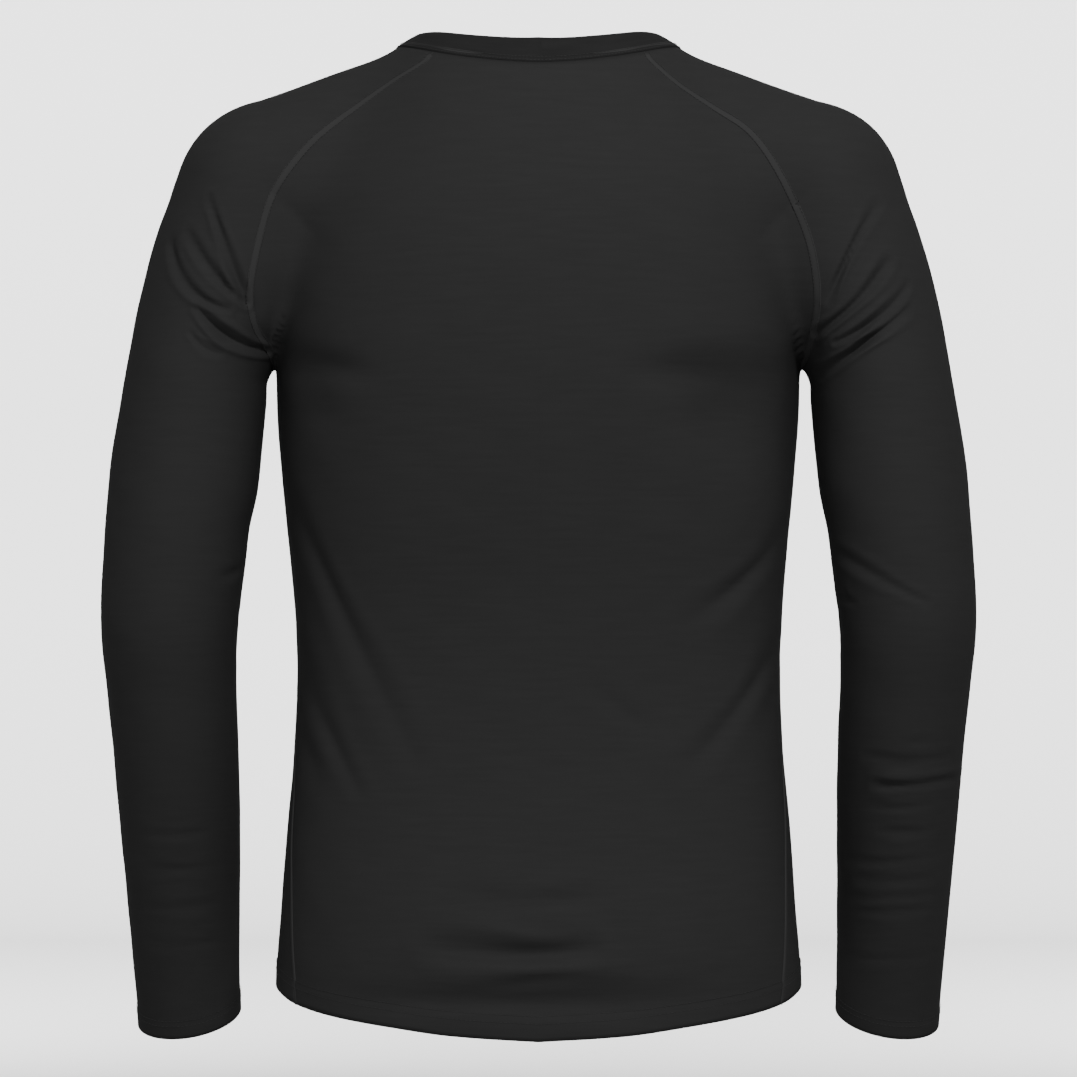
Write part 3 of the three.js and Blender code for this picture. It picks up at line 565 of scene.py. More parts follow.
@dataclass
class Folds:
    """The creases of the worn cloth, each a soft ridge or trough along a curve."""

    rows: Rows
    lines: list[Array] = field(default_factory=list)

    def __post_init__(self) -> None:
        """Works out each fold's curve."""
        t = np.linspace(0, 1, FOLD_PIECES + 1)[:, None]
        weights = (2 * (t - 0.5) * (t - 1), 4 * t * (1 - t), 2 * t * (t - 0.5))
        for row in self.rows:
            ends = [np.array([row[f"x{i}"], row[f"z{i}"]]) for i in (1, 2, 3)]
            self.lines.append(sum(w * end for w, end in zip(weights, ends)))

    def height(self, points: Array, normals: Array) -> Array:
        """How far the cloth stands out from the fit form.

        Args:
            points: Points on the form.
            normals: The way out of the form at each.

        Returns:
            The height at each point, in millimetres.
        """
        height = self.unevenness(points)
        for face in Face:
            facing = np.clip((normals[:, 1] * face.value + 0.15) / 0.5, 0, 1)
            facing = facing * facing * (3 - 2 * facing)
            scale = VIEW_DISTANCE / (VIEW_DISTANCE - points[:, 1] * face.value)
            seen = np.stack([points[:, 0] * scale, VIEW_HEIGHT + (points[:, 2] - VIEW_HEIGHT) * scale], -1)
            for row, line in zip(self.rows, self.lines):
                if row["face"] != face.value:
                    continue
                reach = FOLD_REACH * row["width"]
                close = (seen > line.min(0) - reach).all(1) & (seen < line.max(0) + reach).all(1)
                close &= facing > 0
                if close.any():
                    height[close] += facing[close] * self._profile(seen[close], row, line)
        return height

    def _profile(self, seen: Array, row: dict[str, float], line: Array) -> Array:
        """One fold's height at points where a viewer sees them."""
        starts, ways = line[:-1], np.diff(line, axis=0)
        offset = seen[:, None] - starts
        share = np.clip((offset * ways).sum(2) / (ways**2).sum(1), 0, 1)
        apart = np.linalg.norm(offset - share[..., None] * ways, axis=2)
        i = apart.argmin(1)
        rows = np.arange(len(seen))
        place = (i + share[rows, i]) / FOLD_PIECES
        width = row["width"] * (1 + FOLD_WIDTH_VARIES * np.sin(5 * place + row["x1"]))
        q = apart[rows, i] / width
        fade = np.sin(np.pi * (0.06 + 0.88 * place)) ** (0.6 if row["width"] < FOLD_NARROW else 2)
        fade *= 1 + FOLD_HEIGHT_VARIES * np.sin(7 * place + row["z1"])
        flank = row["flank"] * np.exp(-FLANK_SHARPNESS * (q - FLANK_PLACE) ** 2)
        return row["out"] * fade * (np.exp(-(q ** row["profile"])) - flank)

    @staticmethod
    def unevenness(points: Array) -> Array:
        """A slight waviness all over, so that no stretch of cloth is perfectly smooth."""
        x, y, z = points.T
        wide = np.sin(x / 31 + z / 47 + 1.3) * np.sin(z / 39 - y / 26 + 0.4)
        small = np.sin(x / 13 - z / 19 + 2.1) * np.sin(z / 15 + y / 12) * np.sin(x / 41 + 0.7)
        return 0.5 * wide + 0.22 * small


def evened(form: FitForm, grid: Array, rounds: int = 30) -> Array:
    """Spreads a grid's inner points more evenly over the form, so that no cell there is turned over.

    Args:
        form: The surface that the points lie on.
        grid: Rows of points, the outermost of which stay where they are.
        rounds: How often each point moves towards its neighbours.

    Returns:
        The new points.
    """
    grid = grid.copy()
    for number in range(rounds):
        inner = grid[1:-1, 1:-1]
        around = (grid[:-2, 1:-1] + grid[2:, 1:-1] + grid[1:-1, :-2] + grid[1:-1, 2:]) / 4
        inner = (inner + around) / 2
        if number % 10 == 9:
            inner = form.onto(inner, 3)
        grid[1:-1, 1:-1] = inner
    return grid


class Pattern:
    """The seam lines that the panels are cut to, laid on the fit form."""

    def __init__(self, form: FitForm) -> None:
        """Finds the underarm and the raglan and side seams on the form."""
        self.form = form
        start = np.array([[UNDERARM["x"], UNDERARM["y"], -300.0]])
        self.underarm = form.met_from(start, np.array([0.0, 0.0, 1.0]))[0]
        self.turns = {Face.BACK: math.radians(46), Face.FRONT: math.radians(134)}
        self.raglans = {key: self._raglan(*key) for key in RAGLANS}
        self.side_depth = SmoothTable(SIDE_SEAM, "z")
        self.hem = SmoothTable(HEM, "turn")

    def neck(self, turns: Array) -> Array:
        """The neck seam's points at angles from the middle of the back."""
        sine, cosine = np.sin(turns), np.cos(turns)
        depth = np.where(cosine > 0, NECK["back"], NECK["front"])
        drop = np.where(cosine > 0, NECK["back_drop"], NECK["front_drop"])
        return self.form.onto(np.stack([NECK["side"] * sine, depth * cosine, -drop * cosine**2], -1))

    def _raglan(self, face: Face, side: int) -> SmoothTable:
        """A raglan seam's smooth line on the left half of the form, by distance from the neck."""
        rows = RAGLANS[(face, side)]
        along = distances(np.array([[row["x"], 0, row["z"]] for row in rows]))
        at = SmoothTable([{**r, "along": a} for r, a in zip(rows, along)], "along")
        marks = np.linspace(0, along[-1], 61)
        seen = np.stack([at(marks, "x"), 0 * marks, at(marks, "z")], -1)
        way = unit(seen - np.array([0.0, face.value * VIEW_DISTANCE, VIEW_HEIGHT]))
        met = self.form.met_from(seen - way * 200, way)
        met[0] = self.neck(np.array([self.turns[face]]))[0]
        path = np.vstack([met, self.underarm])
        places = distances(path)
        rows = rows_of("x y z along", *((*point, place) for point, place in zip(path, places)))
        return SmoothTable(rows, "along")

    def raglan_points(self, face: Face, side: int, count: int, crowding: float) -> Array:
        """Points down a raglan seam, as they lie on the left half.

        Args:
            face: Which of the two seams.
            side: Whose table it follows, the left (1) or the right (-1).
            count: How many steps.
            crowding: 1 for even steps, and more for smaller ones near the underarm.

        Returns:
            The points from the neck seam to the underarm.
        """
        table = self.raglans[(face, side)]
        along = table.place[-1] * (1 - (1 - np.linspace(0, 1, count + 1)) ** crowding)
        points = self.form.onto(np.stack([table(along, axis) for axis in "xyz"], -1))
        points[0] = self.neck(np.array([self.turns[face]]))[0]
        points[-1] = self.underarm
        return points

    def side_points(self, count: int, crowding: float) -> Array:
        """Points up the left side seam, from the hem to the underarm."""
        share = (1 - np.arange(count + 1) / count) ** crowding
        z = self.underarm[2] + (self.hem(HEM_SIDE_TURN, "z") - self.underarm[2]) * share
        y = self.side_depth(z, "y")
        width = (1 - (np.abs(y) / self.form.torso(z, "back")) ** TORSO_SQUARENESS) ** (1 / TORSO_SQUARENESS)
        points = self.form.onto(np.stack([self.form.torso(z, "side") * width, y, z], -1))
        points[-1] = self.underarm
        return points


def linear(code: str) -> tuple[float, float, float, float]:
    """Turns an sRGB hex code such as "2a2a2a" into a linear colour with full alpha."""
    parts = [int(code[i : i + 2], 16) / 255 for i in (0, 2, 4)]
    return (*[c / 12.92 if c <= 0.04045 else ((c + 0.055) / 1.055) ** 2.4 for c in parts], 1.0)


def add_node(
    tree: bpy.types.NodeTree, kind: str, settings: dict | None = None, **links: object
) -> bpy.types.Node:
    """Adds one node with its settings and links.

    Args:
        tree: The node tree.
        kind: The node's type name.
        settings: Values of the node's own properties.
        links: For each input, by its name with _ for a space, a socket to link or a value to set.

    Returns:
        The new node.
    """
    node = tree.nodes.new(kind)
    for name, value in (settings or {}).items():
        setattr(node, name, value)
    for name, value in links.items():
        key = int(name[1:]) if name[0] == "i" and name[1:].isdigit() else name.replace("_", " ")
        if isinstance(value, bpy.types.NodeSocket):
            tree.links.new(value, node.inputs[key])
        else:
            node.inputs[key].default_value = value
    return node


def maths(tree: bpy.types.NodeTree, operation: str, *values: object) -> bpy.types.NodeSocket:
    """Adds a maths node on some sockets or values, and gives its result."""
    inputs = {f"i{i}": value for i, value in enumerate(values)}
    return add_node(tree, "ShaderNodeMath", {"operation": operation}, **inputs).outputs[0]


def new_material(name: str, roughness: float, specular: float) -> tuple[bpy.types.Material, bpy.types.Node]:
    """Makes a material of a roughness and a specular level, and finds its shader."""
    material = bpy.data.materials.new(name)
    material.use_nodes = True
    shader = material.node_tree.nodes["Principled BSDF"]
    shader.inputs["Roughness"].default_value = roughness
    shader.inputs["Specular IOR Level"].default_value = specular
    return material, shader


@dataclass(frozen=True)
class Jersey:
    """Fine single jersey: matt, faintly streaked across, with knitted loops too small to see singly."""

    name: str = "black_jersey_knit"
    colour: str = "242424"
    deeper: str = "222222"
    roughness: float = 0.85
    specular: float = 0.06
    loop_mm: float = 0.9
    streak_mm: float = 9.0
    unevenness: float = 1.6
    bump_mm: float = 0.12

    def build(self) -> bpy.types.Material:
        """Makes the material on the cloth's own map, in real millimetres.

        Returns:
            The material.
        """
        material, shader = new_material(self.name, self.roughness, self.specular)
        tree = material.node_tree
        uv = add_node(tree, "ShaderNodeUVMap", {"uv_map": "cut"}).outputs["UV"]
        streak_scale = (1 / (self.streak_mm * MM * 4), 1 / (self.streak_mm * MM * 0.35), 1)
        streaks = add_node(tree, "ShaderNodeMapping", Vector=uv, Scale=streak_scale).outputs["Vector"]
        noise = add_node(tree, "ShaderNodeTexNoise", Vector=streaks, Scale=1.0, Detail=3.0, Roughness=0.6)
        shade = noise.outputs["Fac"]
        ramp = add_node(tree, "ShaderNodeMapRange", Value=shade, From_Min=0.3, From_Max=0.7)
        mix = add_node(
            tree,
            "ShaderNodeMix",
            {"data_type": "RGBA"},
            i0=ramp.outputs["Result"],
            i6=linear(self.deeper),
            i7=linear(self.colour),
        )
        tree.links.new(mix.outputs[2], shader.inputs["Base Color"])
        loop_scale = (1 / (self.loop_mm * MM), 1 / (self.loop_mm * MM), 1)
        scaled = add_node(tree, "ShaderNodeMapping", Vector=uv, Scale=loop_scale)
        apart = add_node(tree, "ShaderNodeSeparateXYZ", Vector=scaled.outputs["Vector"]).outputs
        waves = [maths(tree, "SINE", maths(tree, "MULTIPLY", apart[axis], 2 * math.pi)) for axis in "XY"]
        height = maths(tree, "MULTIPLY_ADD", shade, self.unevenness, maths(tree, "MULTIPLY", *waves))
        bump = add_node(tree, "ShaderNodeBump", Strength=0.35, Distance=self.bump_mm * MM, Height=height)
        tree.links.new(bump.outputs["Normal"], shader.inputs["Normal"])
        return material


@dataclass(frozen=True)
class Plain:
    """An even finish, such as sewing thread, a seam's thread cover or the studio floor."""

    name: str
    colour: str
    roughness: float = 0.7
    specular: float = 0.3

    def build(self) -> bpy.types.Material:
        """Makes the material."""
        material, shader = new_material(self.name, self.roughness, self.specular)
        shader.inputs["Base Color"].default_value = linear(self.colour)
        return material


@dataclass
class Cloth:
    """A sheet of cloth: grids of points on the fit form, joined into a thin closed wall."""

    form: FitForm
    folds: Folds
    wall: float = 0.8
    points: list[Array] = field(default_factory=list)
    maps: list[Array] = field(default_factory=list)
    faces: list[tuple[int, ...]] = field(default_factory=list)
    normals: list[Array] = field(default_factory=list)
    raised: list[Array] = field(default_factory=list)
    count: int = 0

    def add(self, points: Array, uv: Array, raised: Array | float = 0.0) -> Array:
        """Adds points of the form, moved by the folds.

        Args:
            points: The points, in any grid shape.
            uv: Where each lies in the flat cut, in metres.
            raised: How far the outer side stands out there, as over a hem.

        Returns:
            Their numbers, in the same grid shape.
        """
        flat = points.reshape(-1, 3)
        out = unit(self.form.slope(flat))
        flat = flat + out * self.folds.height(flat, out)[:, None]
        self.points.append(flat)
        self.normals.append(out)
        self.maps.append(uv.reshape(-1, 2))
        self.raised.append(np.broadcast_to(raised, points.shape[:-1]).reshape(-1))
        numbers = np.arange(self.count, self.count + len(flat)).reshape(points.shape[:-1])
        self.count += len(flat)
        return numbers

    def join(self, numbers: Array) -> None:
        """Adds the faces of a grid of numbers."""
        self.faces.extend(map(tuple, grid_faces(numbers).tolist()))

    def build(self, name: str, material: bpy.types.Material) -> bpy.types.Object:
        """Closes the wall and makes the mesh.

        Args:
            name: The piece's name.
            material: Its finish.

        Returns:
            The new object, at the origin.
        """
        points, normals = np.vstack(self.points), np.vstack(self.normals)
        uv, raised = np.vstack(self.maps), np.concatenate(self.raised)
        faces = np.array(self.faces)
        a, b, c = (points[faces[:, i]] for i in (0, 1, 2))
        if dot(np.cross(b - a, c - a), normals[faces[:, 0]]).sum() < 0:
            faces = faces[:, ::-1]
        outer = points + normals * (self.wall / 2 + raised)[:, None]
        inner = points - normals * (self.wall / 2)
        ends = np.vstack([faces[:, [i, (i + 1) % 4]] for i in range(4)])
        keys = {}
        for start, stop in ends.tolist():
            if keys.pop((stop, start), None) is None:
                keys[(start, stop)] = True
        rims = [(stop, start, start + self.count, stop + self.count) for start, stop in keys]
        every = np.vstack([faces, faces[:, ::-1] + self.count, np.array(rims)])
        return mesh_object(name, np.vstack([outer, inner]) * MM, every, material, np.vstack([uv, uv]))


def inside_out(points: Array, faces: list[tuple[int, ...]]) -> bool:
    """Whether a closed mesh's faces point inwards, from the volume that their first corners enclose."""
    a, b, c, d = points[np.array([face[:4] for face in faces])].transpose(1, 0, 2)
    return dot(a, np.cross(b, c) + np.cross(c, d)).sum() < 0


def linked(name: str, data: bpy.types.ID) -> bpy.types.Object:
    """Makes an object of some data and links it to the scene."""
    made = bpy.data.objects.new(name, data)
    bpy.context.scene.collection.objects.link(made)
    return made


def mesh_object(
    name: str,
    points: Array,
    faces: Array | list[tuple[int, ...]],
    material: bpy.types.Material,
    uv: Array | None = None,
    closed: bool = True,
) -> bpy.types.Object:
    """Makes a smooth mesh object with one material.

    Args:
        name: The object's name.
        points: Its vertices, in metres.
        faces: Its faces, as vertex numbers.
        material: Its finish.
        uv: Each vertex's place in the flat cut, in metres.
        closed: Whether it encloses a volume, so that its faces can be turned outwards.

    Returns:
        The new object, linked to the scene.
    """
    faces = [tuple(face) for face in faces]
    if closed and inside_out(points, faces):
        faces = [face[::-1] for face in faces]
    mesh = bpy.data.meshes.new(name)
    mesh.from_pydata(points.tolist(), [], faces)
    if uv is not None:
        layer = mesh.uv_layers.new(name="cut")
        loops = np.zeros(len(mesh.loops), int)
        mesh.loops.foreach_get("vertex_index", loops)
        layer.data.foreach_set("uv", uv[loops].ravel())
    mesh.materials.append(material)
    mesh.polygons.foreach_set("use_smooth", [True] * len(mesh.polygons))
    mesh.update()
    return linked(name, mesh)


def line_from_edge(grid: Array, distance: float) -> Array:
    """A line across a grid at a distance from its first row, measured along its columns."""
    steps = np.linalg.norm(np.diff(grid, axis=0), axis=2)
    along = np.vstack([np.zeros(grid.shape[1]), np.cumsum(steps, axis=0)])
    columns = range(grid.shape[1])
    return np.array([[np.interp(distance, along[:, j], grid[:, j, k]) for k in range(3)] for j in columns])


@dataclass
class BodyPanel:
    """The back or the front, from the hem to the neck seam, with the hem turned up on it."""

    pattern: Pattern
    folds: Folds
    face: Face
    half_columns: int = 96
    side_rows: int = 140
    raglan_rows: int = 92
    evened_below: int = 20
    evened_above: int = 55
    evened_columns: int = 26
    hem_deep: float = 17.0
    grid: Array = field(default_factory=lambda: np.zeros(0))

    def build(self, name: str, material: bpy.types.Material) -> bpy.types.Object:
        """Builds the panel as one thin wall.

        Args:
            name: The piece's name.
            material: The jersey.

        Returns:
            The panel.
        """
        left, right = self._half(1), mirrored(self._half(-1))
        grid = self.pattern.form.onto(np.hstack([right[:, :0:-1], left]))
        grid[:, -1], grid[:, 0] = left[:, -1], right[:, -1]
        grid[-1] = np.vstack([right[-1, :0:-1], left[-1]])
        rows = slice(self.side_rows - self.evened_below, self.side_rows + self.evened_above)
        for columns in (slice(0, self.evened_columns), slice(-self.evened_columns, None)):
            grid[rows, columns] = evened(self.pattern.form, grid[rows, columns])
        self.grid = grid
        rise = np.cumsum(np.linalg.norm(np.diff(grid, axis=0, prepend=grid[:1]), axis=2), axis=0)
        across = np.cumsum(np.linalg.norm(np.diff(grid, axis=1, prepend=grid[:, :1]), axis=2), axis=1)
        across -= across[:, [self.half_columns]]
        cloth = Cloth(self.pattern.form, self.folds)
        uv = np.stack([across, grid[..., 2]], -1) * MM
        cloth.join(cloth.add(grid, uv, hem_step(rise, self.hem_deep)))
        return cloth.build(name, material)

    def _half(self, side: int) -> Array:
        """Rows of guesses from the middle to one side's edge, as they lie on the left half."""
        form, face = self.pattern.form, self.face
        edge = self.pattern.side_points(self.side_rows, SIDE_CROWDING)
        raglan = self.pattern.raglan_points(face, side, self.raglan_rows, RAGLAN_CROWDING)[::-1]
        edge = np.vstack([edge, raglan[1:]])
        share = (distances(edge) / distances(edge)[-1])[:, None]
        middle_turn = 0.0 if face is Face.BACK else math.pi
        u = np.linspace(0, 1, self.half_columns + 1)[None]
        angle = np.arctan2(edge[:, 0], edge[:, 1] * face.value)[:, None]
        low = self.pattern.hem(math.degrees(middle_turn), "z")
        high = self.pattern.neck(np.array([middle_turn]))[0, 2]

        def on_torso(place: Array) -> Array:
            """Points of the torso at shares of the way from the middle to the edge."""
            turn = np.degrees(angle[0, 0] * place)
            hem = self.pattern.hem(turn if face is Face.BACK else 180 - turn, "z")
            hem += (edge[0, 2] - self.pattern.hem(HEM_SIDE_TURN, "z")) * place**2
            level = low + (high - low) * share
            z = level + (edge[:, 2:3] - level) * place**2
            z = z + (hem - z[:1]) * (1 - share) ** HEM_FADE
            sine, cosine = np.sin(angle * place), np.cos(angle * place) * face.value
            radius = form.torso_radius(z, sine, cosine)
            return np.stack([radius * sine, radius * cosine, z], -1)

        miss = edge[:, None] - on_torso(np.ones((1, 1)))
        guess = on_torso(u) + miss * (u**3)[..., None]
        guess[-1] = self.pattern.neck(middle_turn + (self.pattern.turns[face] - middle_turn) * u[0])
        guess[:, -1] = edge
        return guess


@dataclass
class Sleeve:
    """A raglan sleeve: a cap between the seams, then a tube down to the turned-up cuff."""

    pattern: Pattern
    folds: Folds
    side: int
    columns: int = 156
    crowding: float = 0.55
    cap_rows: int = 124
    tube_rows: int = 188
    evened_cap: int = 26
    evened_tube: int = 22
    densest: float = 0.7
    cut_width: float = 0.34
    hem_deep: float = 14.0
    tube: Array = field(default_factory=lambda: np.zeros(0))

    def build(self, name: str, material: bpy.types.Material) -> bpy.types.Object:
        """Builds the sleeve as one thin wall.

        Args:
            name: The piece's name.
            material: The jersey.

        Returns:
            The sleeve.
        """
        form = self.pattern.form
        cap, tube = self._cap(), self._tube()
        above, below = self.evened_cap, self.evened_tube
        joint = evened(form, np.vstack([cap[-above:], ringed(tube[:below])]))
        cap[-above:], tube[:below] = joint[:above], joint[above:, :-1]
        if self.side < 0:
            cap, tube = mirrored(cap), mirrored(tube)
        self.tube = tube
        cloth = Cloth(form, self.folds)
        u = self._places() * self.cut_width
        rise = distances(tube[:, self.columns // 2][::-1])[::-1]
        numbers = []
        for grid, places, raised in ((cap, u, 0.0), (tube, u[:-1], hem_step(rise, self.hem_deep)[:, None])):
            uv = np.stack([np.broadcast_to(places, grid.shape[:2]), grid[..., 2] * MM], -1)
            numbers.append(cloth.add(grid, uv, raised))
        cloth.join(np.vstack([numbers[0], ringed(numbers[1])]))
        return cloth.build(name, material)

    def _places(self) -> Array:
        """The columns' places round the sleeve, closer together behind, where the creases are sharpest."""
        u = np.linspace(0, 1, self.columns + 1)
        shift = np.sin(2 * math.pi * (u - self.densest)) + math.sin(2 * math.pi * self.densest)
        return u + self.crowding / (2 * math.pi) * shift

    def _cap(self) -> Array:
        """The left cap's grid, from the neck seam down to just above the underarm."""
        form, pattern = self.pattern.form, self.pattern
        seams = [
            pattern.raglan_points(face, self.side, self.cap_rows, RAGLAN_CROWDING)[:-1] for face in Face
        ]
        sections = [form.spine.nearest(seam) for seam in seams]
        angles = [section.angle_of(seam) % (2 * math.pi) for section, seam in zip(sections, seams)]
        angles[1] -= 2 * math.pi
        u = self._places()[None]
        along = sections[0].along[:, None] * (1 - u) + sections[1].along[:, None] * u
        angle = angles[0][:, None] * (1 - u) + angles[1][:, None] * u
        grid = form.spine.section(along).at_angle(angle)
        turns = pattern.turns[Face.BACK] + (pattern.turns[Face.FRONT] - pattern.turns[Face.BACK]) * u[0]
        neck = pattern.neck(turns)
        fade = ((1 - np.arange(self.cap_rows) / self.cap_rows) ** 2)[:, None, None]
        grid = grid + (neck - grid[0])[None] * fade
        start_miss = seams[0][:, None] - grid[:, :1]
        end_miss = seams[1][:, None] - grid[:, -1:]
        grid = grid + start_miss * (1 - u[..., None]) ** 3 + end_miss * u[..., None] ** 3
        grid = form.onto(grid)
        grid[0], grid[:, 0], grid[:, -1] = neck, seams[0], seams[1]
        return grid

    def _tube(self) -> Array:
        """The left tube's rings, from the underarm to the cuff's edge."""
        form, underarm = self.pattern.form, self.pattern.underarm
        first = form.arm.nearest(underarm[None])
        turned = math.pi - float(first.angle_of(underarm[None])[0]) % (2 * math.pi)
        share = (np.linspace(0, 1, self.tube_rows + 1) ** SIDE_CROWDING)[:, None]
        u = self._places()[None, :-1]
        angle = math.pi - turned * np.maximum(1 - 4 * share, 0) - u * 2 * math.pi
        dip = UNDERARM["ring_drop"] * np.clip(np.minimum(u, 1 - u) * 20, 0, 1)
        start = first.along[0] + dip
        end = form.arm_length - CUFF["from_end"]
        end = end + CUFF["back_reach"] * np.sin(angle) + CUFF["outer_reach"] * np.cos(angle)
        grid = form.arm.section(start + (end - start) * share).at_angle(angle)
        grid = form.onto(grid)
        grid[0, 0] = underarm
        return grid


@dataclass
class Neckband:
    """A doubled strip of jersey that turns up round the neck."""

    pattern: Pattern
    folds: Folds
    columns: int = 240
    rows: int = 12
    thickness: float = 1.5

    def surface(self, turns: Array, t: Array) -> tuple[Array, Array]:
        """The band's middle layer at angles round the neck and shares of its width.

        Args:
            turns: Angles from the middle of the back.
            t: Shares of the width, 0 at the seam and 1 at the fold.

        Returns:
            The points and the way out at each.
        """
        seam = self.pattern.neck(turns)
        ring = unit(self.pattern.neck(turns + 0.01) - self.pattern.neck(turns - 0.01))
        outward = unit(self.pattern.form.slope(seam))
        seam = seam + outward * self.folds.height(seam, outward)[:, None]
        in_surface = unit(np.cross(ring, outward))
        table = SmoothTable(BAND, "turn")
        degrees = np.abs(np.degrees(np.arctan2(np.sin(turns), np.cos(turns))))
        to_axis = unit(seam * np.array([-1.0, -1.0, 0.0]))
        top = seam + to_axis * table(degrees, "inward")[:, None]
        top = top + np.array([0.0, 0.0, 1.0]) * table(degrees, "rise")[:, None]
        flat = seam + in_surface * BAND_FLAT
        t = t[:, None, None]
        place = seam * (1 - t) ** 2 + flat * 2 * t * (1 - t) + top * t**2
        along = (flat - seam) * (1 - t) + (top - flat) * t
        return place, unit(np.cross(along, np.broadcast_to(ring, along.shape)))

    def build(self, material: bpy.types.Material) -> bpy.types.Object:
        """Builds the band with a rounded fold at its top edge.

        Args:
            material: The jersey.

        Returns:
            The band.
        """
        turns = np.arange(self.columns) * 2 * math.pi / self.columns
        t = np.linspace(0.01, 1, self.rows + 1)
        place, normal = self.surface(turns, t)
        half = self.thickness / 2
        along = unit(np.diff(place, axis=0)[-1])
        rings = [p + n * half for p, n in zip(place, normal)]
        for bend in np.linspace(90, -90, 5)[1:-1]:
            turn = math.radians(bend)
            rings.append(place[-1] + normal[-1] * half * math.sin(turn) + along * half * math.cos(turn))
        rings += [p - n * half for p, n in zip(place[::-1], normal[::-1])]
        grid = np.stack(rings)
        count = len(rings)
        numbers = ringed(np.arange(count * self.columns).reshape(count, self.columns))
        faces = grid_faces(np.vstack([numbers, numbers[:1]]))
        uv = np.stack(np.broadcast_arrays(turns[None] * 0.09, np.linspace(0, 0.04, count)[:, None]), -1)
        return mesh_object("neckband_shell", grid.reshape(-1, 3) * MM, faces, material, uv.reshape(-1, 2))


@dataclass
class SeamCover:
    """A flat band of cover threads that straddles a seam, with a row of stitches along each side."""

    form: FitForm
    folds: Folds
    width: float = 6.0
    height: float = 0.4
    lift: float = 0.4
    step: float = 2.2
    aside: float = 0.0
    closed: bool = False

    def _across(self, points: Array, offset: float, lift: float) -> Array:
        """The seam's line moved sideways over the cloth and lifted off it."""
        way = np.gradient(points, axis=0)
        if self.closed:
            way[0] = way[-1] = points[1] - points[-2]
        way = unit(way)
        out = self._eased(unit(self.form.slope(points)))
        moved = self.form.onto(points + np.cross(out, way) * offset, 3)
        out = self._eased(unit(self.form.slope(moved)))
        return moved + out * (self.folds.height(moved, out) + lift)[:, None]

    @staticmethod
    def _eased(ways: Array) -> Array:
        """Directions along a line, with sudden turns spread over their neighbours."""
        for _ in range(4):
            ways = np.vstack([ways[:1], (ways[:-2] + 2 * ways[1:-1] + ways[2:]) / 4, ways[-1:]])
        return unit(ways)

    def even(self, points: Array) -> Array:
        """The line with even steps."""
        along = distances(points)
        marks = np.linspace(0, along[-1], max(int(along[-1] / self.step), 2) + 1)
        return np.stack([np.interp(marks, along, points[:, k]) for k in range(3)], 1)

    def build(self, name: str, points: Array, material: bpy.types.Material) -> bpy.types.Object:
        """Builds the band.

        Args:
            name: The piece's name.
            points: The seam's line on the fit form.
            material: The cover thread.

        Returns:
            The band.
        """
        line = self.even(points)
        half = self.width / 2
        arch = np.linspace(-1, 1, 9)
        outline = [(half * u, self.height * (1 - u**4) - 0.12) for u in arch] + [(0.0, -0.4)]
        rings = [self._across(line, self.aside + offset, self.lift + lift) for offset, lift in outline]
        rings = np.stack(rings, 1)[: -1 if self.closed else None]
        count, sides = rings.shape[:2]
        numbers = np.arange(count * sides).reshape(count, sides)
        loops = ringed(numbers)
        if self.closed:
            loops = np.vstack([loops, loops[:1]])
        faces = [tuple(face) for face in grid_faces(loops)[:, [0, 3, 2, 1]].tolist()]
        if not self.closed:
            faces += [tuple(numbers[0].tolist()), tuple(numbers[-1, ::-1].tolist())]
        return mesh_object(name, rings.reshape(-1, 3) * MM, faces, material)

    def stitch_line(self, points: Array, offset: float, lift: float) -> tuple[Array, Array]:
        """Where a row of stitches runs beside a seam.

        Args:
            points: The seam's line on the fit form.
            offset: How far to one side the row lies.
            lift: How far it lies above the cloth's middle.

        Returns:
            The row's points and the way out at each.
        """
        line = self.even(points)
        return self._across(line, offset, lift), unit(self.form.slope(line))


class StitchKind(Enum):
    """Sewing stitches by pitch, length and thickness, in millimetres."""

    NEEDLE = (3.0, 2.3, 0.42)
    COVER = (2.6, 2.1, 0.5)


